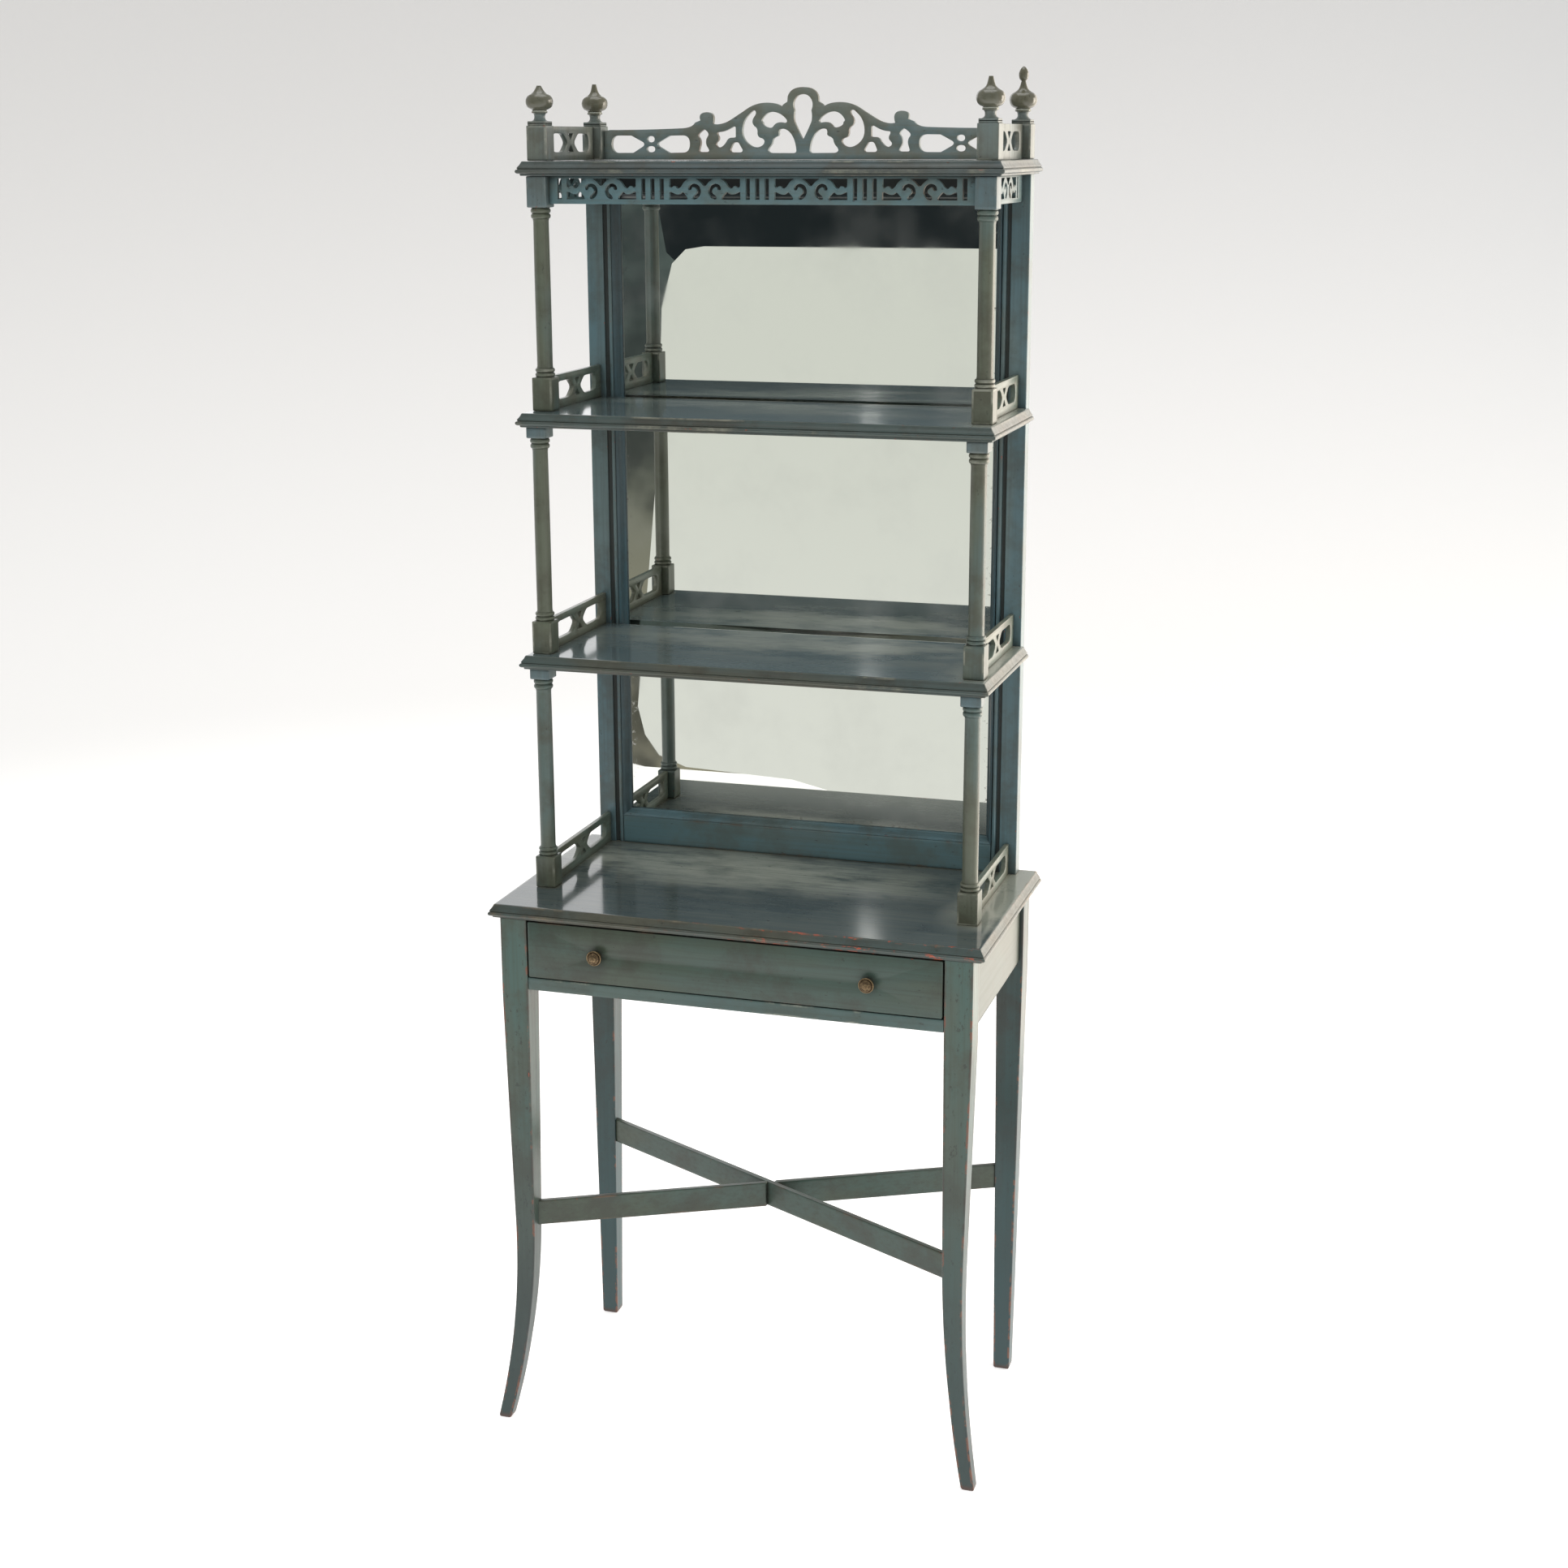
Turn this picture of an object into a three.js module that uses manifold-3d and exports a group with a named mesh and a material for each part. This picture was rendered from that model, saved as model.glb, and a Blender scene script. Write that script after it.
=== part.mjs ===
// A painted etagere: a small table with one drawer on splayed legs, and above it three shelves on turned
// columns, with a framed mirror behind, pierced galleries at the sides and a fretted crest between finials.
// Millimetres, +Z up, +X to the right, +Y to the back. A place called a front or a reach is measured
// forward from the plane of the table's rear edge.
import * as THREE from 'three';
import { mergeVertices } from 'three/addons/utils/BufferGeometryUtils.js';
import Module from 'manifold-3d';

const wasm = await Module();
wasm.setup();

// Gap between pieces that seat on one another, and how far a cutter runs past what it cuts
const fit = 0.3;
const cutOverrun = 1;

// Heights of the table and of the tiers, each from one top surface to the next
const tableHeight = 745;
const lowerTierHeight = 320.4;
const middleTierHeight = 317.4;
const upperTierHeight = 315.6;

// Boards, measured at the upper arris, with a moulded edge that stands out past it
const boardThickness = 18;
const edgeReach = 7;
const tableHalfWidth = 330.2;
const tableFront = 352.2;
const shelfInset = 19.9;
const shelfHalfWidth = tableHalfWidth - shelfInset;
const lowerShelfFront = 267.5;
const upperShelfFront = 255.4;
const topShelfFront = 231;

// Legs
const legWidth = 37;
const legBlockHeight = 112;
const sideOverhang = 15.8;
const frontOverhang = 5.8;
const rearOverhang = 2.8;
const kneeHeight = 300;
const kneeInward = 2.7;
const kneeForward = 4.4;
const footSplayOut = 31.3;
const footSplayForward = 28.5;
const frontFootWidth = 15.9;
const rearFootWidth = 22.9;

// Aprons and front rail
const apronHeight = 102;
const apronThickness = 16;
const apronRecess = 5.4;
const frontRailHeight = 17;
const frontRailDepth = 22;
const frontRailRecess = 1;

// Drawer, its runners and its knobs
const drawerOpeningHeight = 80.5;
const drawerFrontThickness = 18;
const drawerFrontRadius = 2.5;
const drawerGapBelow = 1.5;
const drawerGapAbove = 2;
const drawerGapSide = 2;
const drawerSideHeight = 60;
const drawerSideThickness = 10;
const drawerSideLength = 265;
const drawerBottomThickness = 4;
const drawerBottomRise = 6;
const runnerWidth = 22;
const runnerHeight = 17;
const guideHeight = 14;
const guideWidth = 6.5;
const runnerClearance = 0.6;
const knobSpacing = 370;
const knobDiameter = 20.5;
const knobReach = 16;
const knobStemDiameter = 4;
const nutThickness = 4;
const nutWidth = 9;
const nutSides = 6;

// Crossed stretchers
const stretcherHeight = 35;
const stretcherThickness = 8;
const stretcherBottom = 281.5;

// Columns
const blockWidth = 27;
const columnSideInset = 4.5;
const columnFrontInset = 3;
const plinthHeight = 43;
const baseBeadsHeight = 12.5;
const capitalBeadsHeight = 14.5;
const capitalHeight = 14;
const upperCapitalHeight = 39;
const shaftDiameter = 20.4;
const beadDiameter = 26;

// Finial posts on the top shelf
const postHeight = 43.5;
const postFrontInset = 8.5;
const postRearInset = 1.5;
const shoulderHeight = 5.3;
const shoulderWidth = 24.4;
const neckHeight = 9.9;
const neckDiameter = 14.2;
const collarHeight = 3.3;
const collarDiameter = 20.4;
const bulbHeight = 26;
const bulbDiameter = 35.5;
const spireTipDiameter = 5.6;
const shortSpireHeight = 4.3;
const spireHeight = 9.7;
const acornSpireHeight = 8.2;
const acornHeight = 17.8;
const acornDiameter = 12.6;

// Back frame, its mirror and its back board
const frameDepth = 22;
const frameRearInset = 3;
const stileFaceWidth = 23.8;
const stileGrooveWidth = 5.5;
const stileGrooveDepth = 4;
const stileBeadWidth = 6.5;
const bottomRailHeight = 39.5;
const topRailHeight = 25;
const sightMouldingWidth = 9;
const sightMouldingDrop = 12;
const mirrorThickness = 4;
const backBoardThickness = 2.7;

// Side galleries
const galleryThickness = 6.5;
const galleryHeight = 43;
const galleryTopRail = 9;
const galleryBottomRail = 10.7;
const galleryEndMargin = 19;
const galleryApexGap = 10.5;
const gallerySlopeRun = 15;
const galleryCornerRadius = 6;
const galleryCornerCut = 5.5;
const galleryEyeHalfWidth = 9;
const galleryEyeHeight = 9;
const galleryEyeRadius = 2.5;

// Friezes under the top shelf
const friezeHeight = 34.5;
const friezeThickness = 6;
const friezePitch = 138.4;
const friezeSlotSpacing = 12.4;
const friezeSlotWidth = 5.4;
const friezeTopRail = 3;
const friezeBottomRail = 6;

// Crest
const crestHeight = 91.6;
const crestThickness = 7;
const crestReach = 20;

// How finely curves are cut
const turningSides = 12;
const curveSteps = 2;
const legSteps = 14;

// Shape of the moulded edge from the arris down, as shares of its reach and of the board's thickness
const edgeShares = [
  [0, 0], [0.23, 0.23], [0.8, 0.49], [1, 0.61], [1, 0.75], [0.8, 0.845], [0.29, 0.867], [0.29, 1],
];

// A pair of beads from below, as shares of their height and of their diameter
const beadShares = [[0, 0.84], [0.12, 1], [0.38, 1], [0.5, 0.84], [0.62, 1], [0.88, 1], [1, 0.84]];

// A finial's bulb and an acorn from below, as shares of the height and of the diameter
const bulbShares = [
  [0, 0.52], [0.06, 0.7], [0.16, 0.88], [0.28, 0.97], [0.42, 1], [0.57, 0.96], [0.69, 0.85], [0.77, 0.68],
  [0.83, 0.51], [0.9, 0.38], [1, 0.27],
];
const acornShares = [[0.08, 0.6], [0.25, 0.9], [0.5, 1], [0.75, 0.72], [0.92, 0.35], [1, 0.08]];

// A knob from the drawer's face outward, as shares of its reach and of its diameter
const knobShares = [
  [0, 0.62], [0.12, 0.62], [0.16, 0.38], [0.36, 0.36], [0.5, 0.84], [0.58, 1], [0.68, 0.98], [0.78, 0.8],
  [0.92, 0.56], [1, 0.2],
];

// How fast a leg thickens and how late it splays, as powers of shares of a height
const taperPowerShare = 0.82;
const splayPowerShare = 2.2;

// The mirror's sight moulding from its outer edge inward, as shares of its width and of its drop
const sightShares = [[0, 0], [0.2, 0.12], [0.45, 0.45], [0.75, 0.85], [1, 1]];

// Outlines are lists of strokes: [x, z] is a line to a point, [cx, cz, x, z] a curve to it by way of a
// control point. A crest point is a share of the crest's half length and of its height.
const crestEdgeShares = [
  [0, 1], [0.062, 1, 0.075, 0.87], [0.077, 0.8], [0.096, 0.765], [0.104, 0.736],
  [0.13, 0.79, 0.18, 0.79], [0.24, 0.79, 0.29, 0.68], [0.35, 0.57], [0.4, 0.475, 0.447, 0.5],
  [0.43, 0.66, 0.477, 0.665], [0.524, 0.66, 0.51, 0.55], [0.537, 0.52], [0.55, 0.45, 0.6, 0.443],
  [0.8, 0.42, 0.97, 0.424], [1, 0.41],
];
const crestKeyholeShares = [
  [0, 0.902], [0.036, 0.9, 0.046, 0.79], [0.05, 0.74, 0.041, 0.68], [0.047, 0.6, 0.042, 0.53],
  [0.03, 0.44, 0, 0.27],
];
const crestOpeningShares = [
  [[0.803, 0.25], [0.862, 0.342], [0.925, 0.343], [0.963, 0.343, 0.963, 0.22], [0.963, 0.099, 0.925, 0.099],
    [0.853, 0.099], [0.803, 0.187], [0.79, 0.22, 0.803, 0.25]],
  [[0.781, 0.29], [0.781, 0.334, 0.762, 0.334], [0.743, 0.334, 0.743, 0.29], [0.743, 0.246, 0.762, 0.246],
    [0.781, 0.246, 0.781, 0.29]],
  [[0.784, 0.15], [0.784, 0.193, 0.762, 0.193], [0.741, 0.193, 0.741, 0.15], [0.741, 0.106, 0.762, 0.106],
    [0.784, 0.106, 0.784, 0.15]],
  [[0.72, 0.251], [0.665, 0.338], [0.6, 0.341], [0.564, 0.34, 0.564, 0.225], [0.564, 0.1, 0.6, 0.1],
    [0.667, 0.098], [0.72, 0.186], [0.735, 0.22, 0.72, 0.251]],
  [[0.49, 0.425], [0.46, 0.37, 0.475, 0.32], [0.487, 0.27, 0.48, 0.2], [0.468, 0.14],
    [0.466, 0.108, 0.48, 0.108], [0.51, 0.108], [0.52, 0.112, 0.517, 0.14], [0.511, 0.2],
    [0.505, 0.27, 0.519, 0.315], [0.53, 0.36, 0.49, 0.425]],
  [[0.42, 0.385], [0.385, 0.385, 0.345, 0.463], [0.333, 0.465, 0.333, 0.44], [0.333, 0.32],
    [0.333, 0.308, 0.35, 0.308], [0.372, 0.31, 0.38, 0.25], [0.4, 0.165, 0.418, 0.172],
    [0.442, 0.2, 0.426, 0.25], [0.41, 0.29, 0.423, 0.345], [0.428, 0.38, 0.42, 0.385]],
  [[0.325, 0.24], [0.34, 0.24], [0.348, 0.23, 0.352, 0.2], [0.361, 0.135], [0.36, 0.102, 0.348, 0.102],
    [0.312, 0.102], [0.298, 0.104, 0.3, 0.14], [0.314, 0.21], [0.318, 0.238, 0.325, 0.24]],
  [[0.24, 0.685], [0.225, 0.665, 0.238, 0.605], [0.26, 0.53, 0.24, 0.465], [0.222, 0.44, 0.225, 0.37],
    [0.224, 0.305, 0.203, 0.297], [0.183, 0.27, 0.195, 0.215], [0.215, 0.15, 0.25, 0.183],
    [0.302, 0.255, 0.3, 0.41], [0.297, 0.56, 0.262, 0.645], [0.25, 0.685, 0.24, 0.685]],
  [[0.204, 0.55], [0.185, 0.66, 0.148, 0.662], [0.105, 0.65, 0.08, 0.55], [0.075, 0.505, 0.092, 0.51],
    [0.13, 0.54, 0.148, 0.455], [0.158, 0.43, 0.178, 0.452], [0.2, 0.475, 0.197, 0.515],
    [0.206, 0.53, 0.204, 0.55]],
  [[0.114, 0.42], [0.085, 0.45, 0.058, 0.355], [0.036, 0.26, 0.033, 0.13], [0.032, 0.09, 0.048, 0.09],
    [0.155, 0.092], [0.185, 0.11, 0.165, 0.175], [0.152, 0.215, 0.149, 0.265], [0.147, 0.3, 0.13, 0.318],
    [0.115, 0.335, 0.119, 0.37], [0.12, 0.4, 0.114, 0.42]],
];

// One repeat of the frieze: a point is a share of the pitch, from the middle of a group of slots, and of
// the height between the two rails. The first outlines come in mirrored pairs, the last one stands alone.
const friezePairShares = [
  [[0.161, 0], [0.161, 0.34], [0.165, 0.39, 0.19, 0.335], [0.245, 0.17, 0.268, 0.295],
    [0.29, 0.43, 0.312, 0.25], [0.335, 0.13, 0.336, 0.07], [0.336, 0, 0.325, 0]],
  [[0.343, 0.53], [0.35, 0.755, 0.4, 0.76], [0.463, 0.74, 0.465, 0.35], [0.45, 0.04, 0.405, 0.005],
    [0.375, 0.01, 0.395, 0.185], [0.44, 0.335, 0.425, 0.48], [0.4, 0.645, 0.381, 0.58],
    [0.375, 0.44, 0.358, 0.445], [0.345, 0.44, 0.343, 0.53]],
  [[0.162, 1], [0.162, 0.66], [0.168, 0.525, 0.192, 0.6], [0.215, 0.7, 0.23, 0.59],
    [0.25, 0.455, 0.28, 0.645], [0.305, 0.89, 0.345, 1]],
];
const friezeMiddleShares = [
  [0.42, 1], [0.46, 0.86, 0.485, 0.685], [0.5, 0.62, 0.515, 0.685], [0.54, 0.86, 0.58, 1],
];

// Levels and places that follow from the sizes
const tableTop = tableHeight;
const lowerShelfTop = tableTop + lowerTierHeight;
const upperShelfTop = lowerShelfTop + middleTierHeight;
const topShelfTop = upperShelfTop + upperTierHeight;
const tableUnderside = tableTop - boardThickness;
const topShelfUnderside = topShelfTop - boardThickness;
const legBlockBottom = tableUnderside - legBlockHeight;
const legX = tableHalfWidth + edgeReach - sideOverhang - legWidth / 2;
const legOuterX = legX + legWidth / 2;
const legInnerX = legX - legWidth / 2;
const frontLegFace = tableFront + edgeReach - frontOverhang;
const frontLegReach = frontLegFace - legWidth / 2;
const rearLegFace = rearOverhang + legWidth;
const frameFront = frameRearInset + frameDepth;
const columnX = shelfHalfWidth - columnSideInset - blockWidth / 2;
const postRearReach = frameRearInset + postRearInset + blockWidth / 2;
const postFrontReach = topShelfFront - postFrontInset - blockWidth / 2;
const overallDepth = frontLegReach + kneeForward + footSplayForward + frontFootWidth / 2;

const paint = new THREE.MeshStandardMaterial({ color: 0x66736b, roughness: 0.45, metalness: 0 });
const bluePaint = new THREE.MeshStandardMaterial({ color: 0x4f666b, roughness: 0.45, metalness: 0 });
const bareWood = new THREE.MeshStandardMaterial({ color: 0x8a6a48, roughness: 0.7, metalness: 0 });
const brass = new THREE.MeshStandardMaterial({ color: 0x8f7a45, roughness: 0.35, metalness: 1 });
const silvering = new THREE.MeshStandardMaterial({ color: 0xd8dde0, roughness: 0.05, metalness: 1 });

const etagere = new THREE.Group();

// The y coordinate of a place given as a reach forward from the table's rear edge
function yAt(reach) {
  return overallDepth / 2 - reach;
}

function addPart(name, geometry, material, x = 0, y = 0, z = 0) {
  const mesh = new THREE.Mesh(geometry, material);
  mesh.name = name;
  mesh.position.set(x, y, z);
  etagere.add(mesh);
  return mesh;
}

// A plain rectangular board between two x, two reaches and two heights
function addBoard(name, material, [x0, x1], [reach0, reach1], [z0, z1]) {
  const geometry = new THREE.BoxGeometry(x1 - x0, reach1 - reach0, z1 - z0);
  addPart(name, geometry, material, (x0 + x1) / 2, yAt((reach0 + reach1) / 2), (z0 + z1) / 2);
}

// A closed body through rings with equal counts of points, each ring counterclockwise seen from the last
function loft(rings) {
  const count = rings[0].length;
  const last = (rings.length - 1) * count;
  const index = [];
  for (let start = 0; start < last; start += count) {
    for (let i = 0; i < count; i++) {
      const a = start + i;
      const b = start + ((i + 1) % count);
      index.push(a, b, b + count, a, b + count, a + count);
    }
  }
  for (let i = 1; i + 1 < count; i++) {
    index.push(0, i + 1, i);
    index.push(last, last + i, last + i + 1);
  }
  const geometry = new THREE.BufferGeometry();
  geometry.setFromPoints(rings.flat());
  geometry.setIndex(index);
  geometry.computeVertexNormals();
  return geometry;
}

function rectangleRing(x0, x1, y0, y1, z) {
  return [[x0, y0], [x1, y0], [x1, y1], [x0, y1]].map(([x, y]) => new THREE.Vector3(x, y, z));
}

// A ring of a turned piece: half is its radius, or half its side where the piece is square
function turnedRing(z, half, square = false) {
  const ring = [];
  for (let i = 0; i < turningSides; i++) {
    const angle = Math.PI / 4 + (i * 2 * Math.PI) / turningSides;
    const flat = Math.max(Math.abs(Math.cos(angle)), Math.abs(Math.sin(angle)));
    const radius = square ? half / flat : half;
    ring.push(new THREE.Vector3(radius * Math.cos(angle), radius * Math.sin(angle), z));
  }
  return ring;
}

function turnedRings(shares, bottom, height, diameter) {
  return shares.map(
    ([zShare, widthShare]) => turnedRing(bottom + zShare * height, (widthShare * diameter) / 2));
}

// A board whose front and ends carry the moulded edge, square at the back
function mouldedBoard(halfWidth, front, rear) {
  const rings = edgeShares.map(([outShare, downShare]) => {
    const out = outShare * edgeReach;
    const z = -downShare * boardThickness;
    return rectangleRing(-halfWidth - out, halfWidth + out, yAt(front + out), yAt(rear), z);
  });
  return loft(rings.reverse());
}

// The points of an outline given as strokes in shares of a width and a height
function tracePoints(strokes, width, height) {
  const path = new THREE.Path();
  strokes.forEach((stroke, i) => {
    const sized = stroke.map((share, k) => share * (k % 2 === 0 ? width : height));
    if (i === 0) path.moveTo(...sized);
    else if (sized.length === 2) path.lineTo(...sized);
    else path.quadraticCurveTo(...sized);
  });
  return path.getPoints(curveSteps);
}

function mirroredPoints(points, axis = 0) {
  return points.map((p) => new THREE.Vector2(2 * axis - p.x, p.y)).reverse();
}

function shiftedPoints(points, x, z) {
  return points.map((p) => new THREE.Vector2(p.x + x, p.y + z));
}

function withoutRepeats(points) {
  return points.filter((p, i) => p.distanceTo(points[(i + 1) % points.length]) > fit / 10);
}

// The points of a polygon whose corners are rounded, less where a side is too short for the radius
function roundedPoints(corners, radius) {
  const points = [];
  corners.forEach((corner, i) => {
    const before = corners[(i + corners.length - 1) % corners.length];
    const after = corners[(i + 1) % corners.length];
    const start = corner.clone().lerp(before, Math.min(1 / 2, radius / corner.distanceTo(before)));
    const end = corner.clone().lerp(after, Math.min(1 / 2, radius / corner.distanceTo(after)));
    points.push(...new THREE.QuadraticBezierCurve(start, corner, end).getPoints(curveSteps));
  });
  return withoutRepeats(points);
}

function extrudeUpright(outline, thickness) {
  const around = THREE.ShapeUtils.isClockWise(outline) ? [...outline].reverse() : outline;
  const shape = new THREE.Shape(withoutRepeats(around));
  return new THREE.ExtrudeGeometry(shape, { depth: thickness, bevelEnabled: false }).rotateX(Math.PI / 2);
}

// A flat board that stands upright, its outline in x and z, its rear face on the plane y = 0
function standingBoard(outline, openings, thickness) {
  const board = extrudeUpright(outline, thickness);
  if (openings.length === 0) return board;
  const cutters = openings.map((points) => (
    toSolid(extrudeUpright(points, thickness + 2 * cutOverrun).translate(0, cutOverrun, 0))));
  return toGeometry(cutters.reduce((solid, cutter) => solid.subtract(cutter), toSolid(board)));
}

function rectanglePoints(x0, x1, z0, z1) {
  return [[x0, z0], [x1, z0], [x1, z1], [x0, z1]].map(([x, z]) => new THREE.Vector2(x, z));
}

function toSolid(geometry) {
  const bare = geometry.clone();
  bare.deleteAttribute('normal');
  bare.deleteAttribute('uv');
  const merged = mergeVertices(bare);
  const vertProperties = new Float32Array(merged.attributes.position.array);
  const triVerts = new Uint32Array(merged.index.array);
  return new wasm.Manifold(new wasm.Mesh({ numProp: 3, vertProperties, triVerts }));
}

function toGeometry(solid) {
  const mesh = solid.getMesh();
  const geometry = new THREE.BufferGeometry();
  geometry.setAttribute('position', new THREE.BufferAttribute(mesh.vertProperties, 3));
  geometry.setIndex(new THREE.BufferAttribute(mesh.triVerts, 1));
  geometry.computeVertexNormals();
  return geometry;
}

// Where a front leg's axis runs and how wide the leg is, at a height above the floor
function frontLegStation(z) {
  const thickened = Math.min(1, z / legBlockBottom) ** taperPowerShare;
  const width = frontFootWidth + (legWidth - frontFootWidth) * thickened;
  const splay = Math.max(0, 1 - z / kneeHeight) ** splayPowerShare;
  const bend = Math.min(1, Math.max(0, (legBlockBottom - z) / (legBlockBottom - kneeHeight)));
  const x = legX - kneeInward * bend + footSplayOut * splay;
  const reach = frontLegReach + kneeForward * bend + footSplayForward * splay;
  return { x, reach, width };
}

// A rear leg tapers on its two outer faces and its inner one, and keeps its front face upright
function rearLegStation(z) {
  const width = rearFootWidth + (legWidth - rearFootWidth) * Math.min(1, z / legBlockBottom);
  return { x: legX, reach: rearLegFace - width / 2, width };
}

// A leg on one side, made larger all round by a margin where it serves as a cutter
function legGeometry(station, side, margin = 0) {
  const heights = Array.from({ length: legSteps + 1 }, (_, i) => (legBlockBottom * i) / legSteps);
  heights.push(tableUnderside - fit);
  const rings = heights.map((z) => {
    const { x, reach, width } = station(z);
    const half = width / 2 + margin;
    return rectangleRing(side * x - half, side * x + half, yAt(reach + half), yAt(reach - half), z);
  });
  return loft(rings);
}

function addTableTop() {
  addPart('table_top', mouldedBoard(tableHalfWidth, tableFront, 0), paint, 0, 0, tableTop);
}

function addLegs(side, hand) {
  addPart(`leg_front_${hand}`, legGeometry(frontLegStation, side), paint);
  addPart(`leg_rear_${hand}`, legGeometry(rearLegStation, side), paint);
}

function addAprons() {
  const heights = [tableUnderside - apronHeight, tableUnderside - fit];
  const outer = legOuterX - apronRecess;
  const inner = outer - apronThickness;
  const sideReach = [rearLegFace + fit, frontLegReach - legWidth / 2 - fit];
  addBoard('apron_left', paint, [-outer, -inner], sideReach, heights);
  addBoard('apron_right', paint, [inner, outer], sideReach, heights);
  const rear = rearOverhang + apronRecess;
  addBoard('apron_back', paint, [fit - legInnerX, legInnerX - fit], [rear, rear + apronThickness], heights);
}

const frontRailTop = tableUnderside - drawerOpeningHeight;
const frontRailRear = frontLegFace - frontRailRecess - frontRailDepth;
const drawerBottomZ = frontRailTop + drawerGapBelow;
const drawerTopZ = tableUnderside - drawerGapAbove;
const drawerFrontRear = frontLegFace - drawerFrontThickness;
const drawerSideRear = drawerFrontRear - drawerSideLength;
const drawerHalfWidth = legInnerX - fit - guideWidth - runnerClearance;
const drawerInnerX = drawerHalfWidth - drawerSideThickness;
const drawerBoardZ = drawerBottomZ + drawerBottomRise;
const knobZ = (drawerBottomZ + drawerTopZ) / 2;

function addFrontRail() {
  const reaches = [frontRailRear, frontLegFace - frontRailRecess];
  const heights = [frontRailTop - frontRailHeight, frontRailTop];
  addBoard('front_rail', paint, [fit - legInnerX, legInnerX - fit], reaches, heights);
}

// An L-shaped runner: the drawer's side slides on its ledge, along its upright guide
function addRunner(side, hand) {
  const outer = legInnerX - fit;
  const ledge = drawerBottomZ - fit;
  const corners = [
    [outer, ledge - runnerHeight], [outer, ledge + guideHeight], [outer - guideWidth, ledge + guideHeight],
    [outer - guideWidth, ledge], [outer - runnerWidth, ledge], [outer - runnerWidth, ledge - runnerHeight],
  ];
  const rear = rearOverhang + apronRecess + apronThickness + fit;
  const outline = corners.map(([x, z]) => new THREE.Vector2(side * x, z));
  const geometry = standingBoard(outline, [], frontRailRear - fit - rear);
  addPart(`drawer_runner_${hand}`, geometry, bareWood, 0, yAt(rear), 0);
}

function circlePoints(x, z, radius) {
  return new THREE.Path().absarc(x, z, radius, 0, 2 * Math.PI).getPoints(turningSides).slice(0, -1);
}

function addDrawerFront() {
  const half = legInnerX - drawerGapSide;
  const outline = roundedPoints(rectanglePoints(-half, half, drawerBottomZ, drawerTopZ), drawerFrontRadius);
  const holeRadius = knobStemDiameter / 2 + fit;
  const holes = [-1, 1].map((side) => circlePoints((side * knobSpacing) / 2, knobZ, holeRadius));
  const face = standingBoard(outline, holes, drawerFrontThickness);
  addPart('drawer_front', face, paint, 0, yAt(drawerFrontRear), 0);
}

function addDrawerBox() {
  const heights = [drawerBottomZ, drawerBottomZ + drawerSideHeight];
  const reaches = [drawerSideRear, drawerFrontRear - fit];
  const inside = [fit - drawerInnerX, drawerInnerX - fit];
  addBoard('drawer_side_left', bareWood, [-drawerHalfWidth, -drawerInnerX], reaches, heights);
  addBoard('drawer_side_right', bareWood, [drawerInnerX, drawerHalfWidth], reaches, heights);
  addBoard('drawer_bottom', bareWood, inside, reaches, [drawerBoardZ, drawerBoardZ + drawerBottomThickness]);
  const backHeights = [drawerBoardZ + drawerBottomThickness + fit, drawerBottomZ + drawerSideHeight];
  const backReaches = [drawerSideRear, drawerSideRear + drawerSideThickness];
  addBoard('drawer_back', bareWood, inside, backReaches, backHeights);
}

// A turned knob whose stem runs through the drawer front, and the nut that holds it
function addKnob(side, hand) {
  const x = (side * knobSpacing) / 2;
  const radius = knobDiameter / 2;
  const stemRadius = knobStemDiameter / 2;
  const stemEnd = fit + drawerFrontThickness + fit + nutThickness + stemRadius;
  const stem = [[0, -stemEnd], [stemRadius, -stemEnd], [stemRadius, 0]];
  const head = knobShares.map(([outShare, widthShare]) => [widthShare * radius, outShare * knobReach]);
  const profile = [...stem, ...head, [0, knobReach]].map(([r, out]) => new THREE.Vector2(r, out));
  const turned = new THREE.LatheGeometry(profile, turningSides);
  turned.rotateX(Math.PI);
  addPart(`knob_${hand}`, turned, brass, x, yAt(frontLegFace + fit), knobZ);

  const nut = new THREE.Path().absarc(0, 0, nutWidth / 2, 0, 2 * Math.PI).getPoints(nutSides).slice(0, -1);
  const bore = circlePoints(0, 0, stemRadius + fit);
  const rear = drawerFrontRear - fit - nutThickness;
  addPart(`knob_nut_${hand}`, standingBoard(nut, [bore], nutThickness), brass, x, yAt(rear), knobZ);
}

// Two boards on edge from each front leg to the opposite rear leg, halved where they cross
function addStretchers() {
  const middleZ = stretcherBottom + stretcherHeight / 2;
  const front = frontLegStation(middleZ);
  const rear = rearLegStation(middleZ);
  const rise = front.reach - rear.reach;
  const run = front.x + rear.x;
  const length = Math.hypot(run, rise);
  const board = (side, margin, z0, z1) => {
    const geometry = new THREE.BoxGeometry(length, stretcherThickness + 2 * margin, z1 - z0);
    geometry.rotateZ(-side * Math.atan2(rise, run));
    const x = (side * (front.x - rear.x)) / 2;
    return toSolid(geometry.translate(x, yAt((front.reach + rear.reach) / 2), (z0 + z1) / 2));
  };
  const stretcherTop = stretcherBottom + stretcherHeight;
  for (const [side, hand] of [[1, 'right'], [-1, 'left']]) {
    const lapped = side > 0
      ? [middleZ - fit / 2, stretcherTop + fit]
      : [stretcherBottom - fit, middleZ + fit / 2];
    const solid = board(side, 0, stretcherBottom, stretcherTop)
      .subtract(board(-side, fit, ...lapped))
      .subtract(toSolid(legGeometry(frontLegStation, side, fit)))
      .subtract(toSolid(legGeometry(rearLegStation, -side, fit)));
    addPart(`stretcher_front_${hand}`, toGeometry(solid), paint);
  }
}

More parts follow.
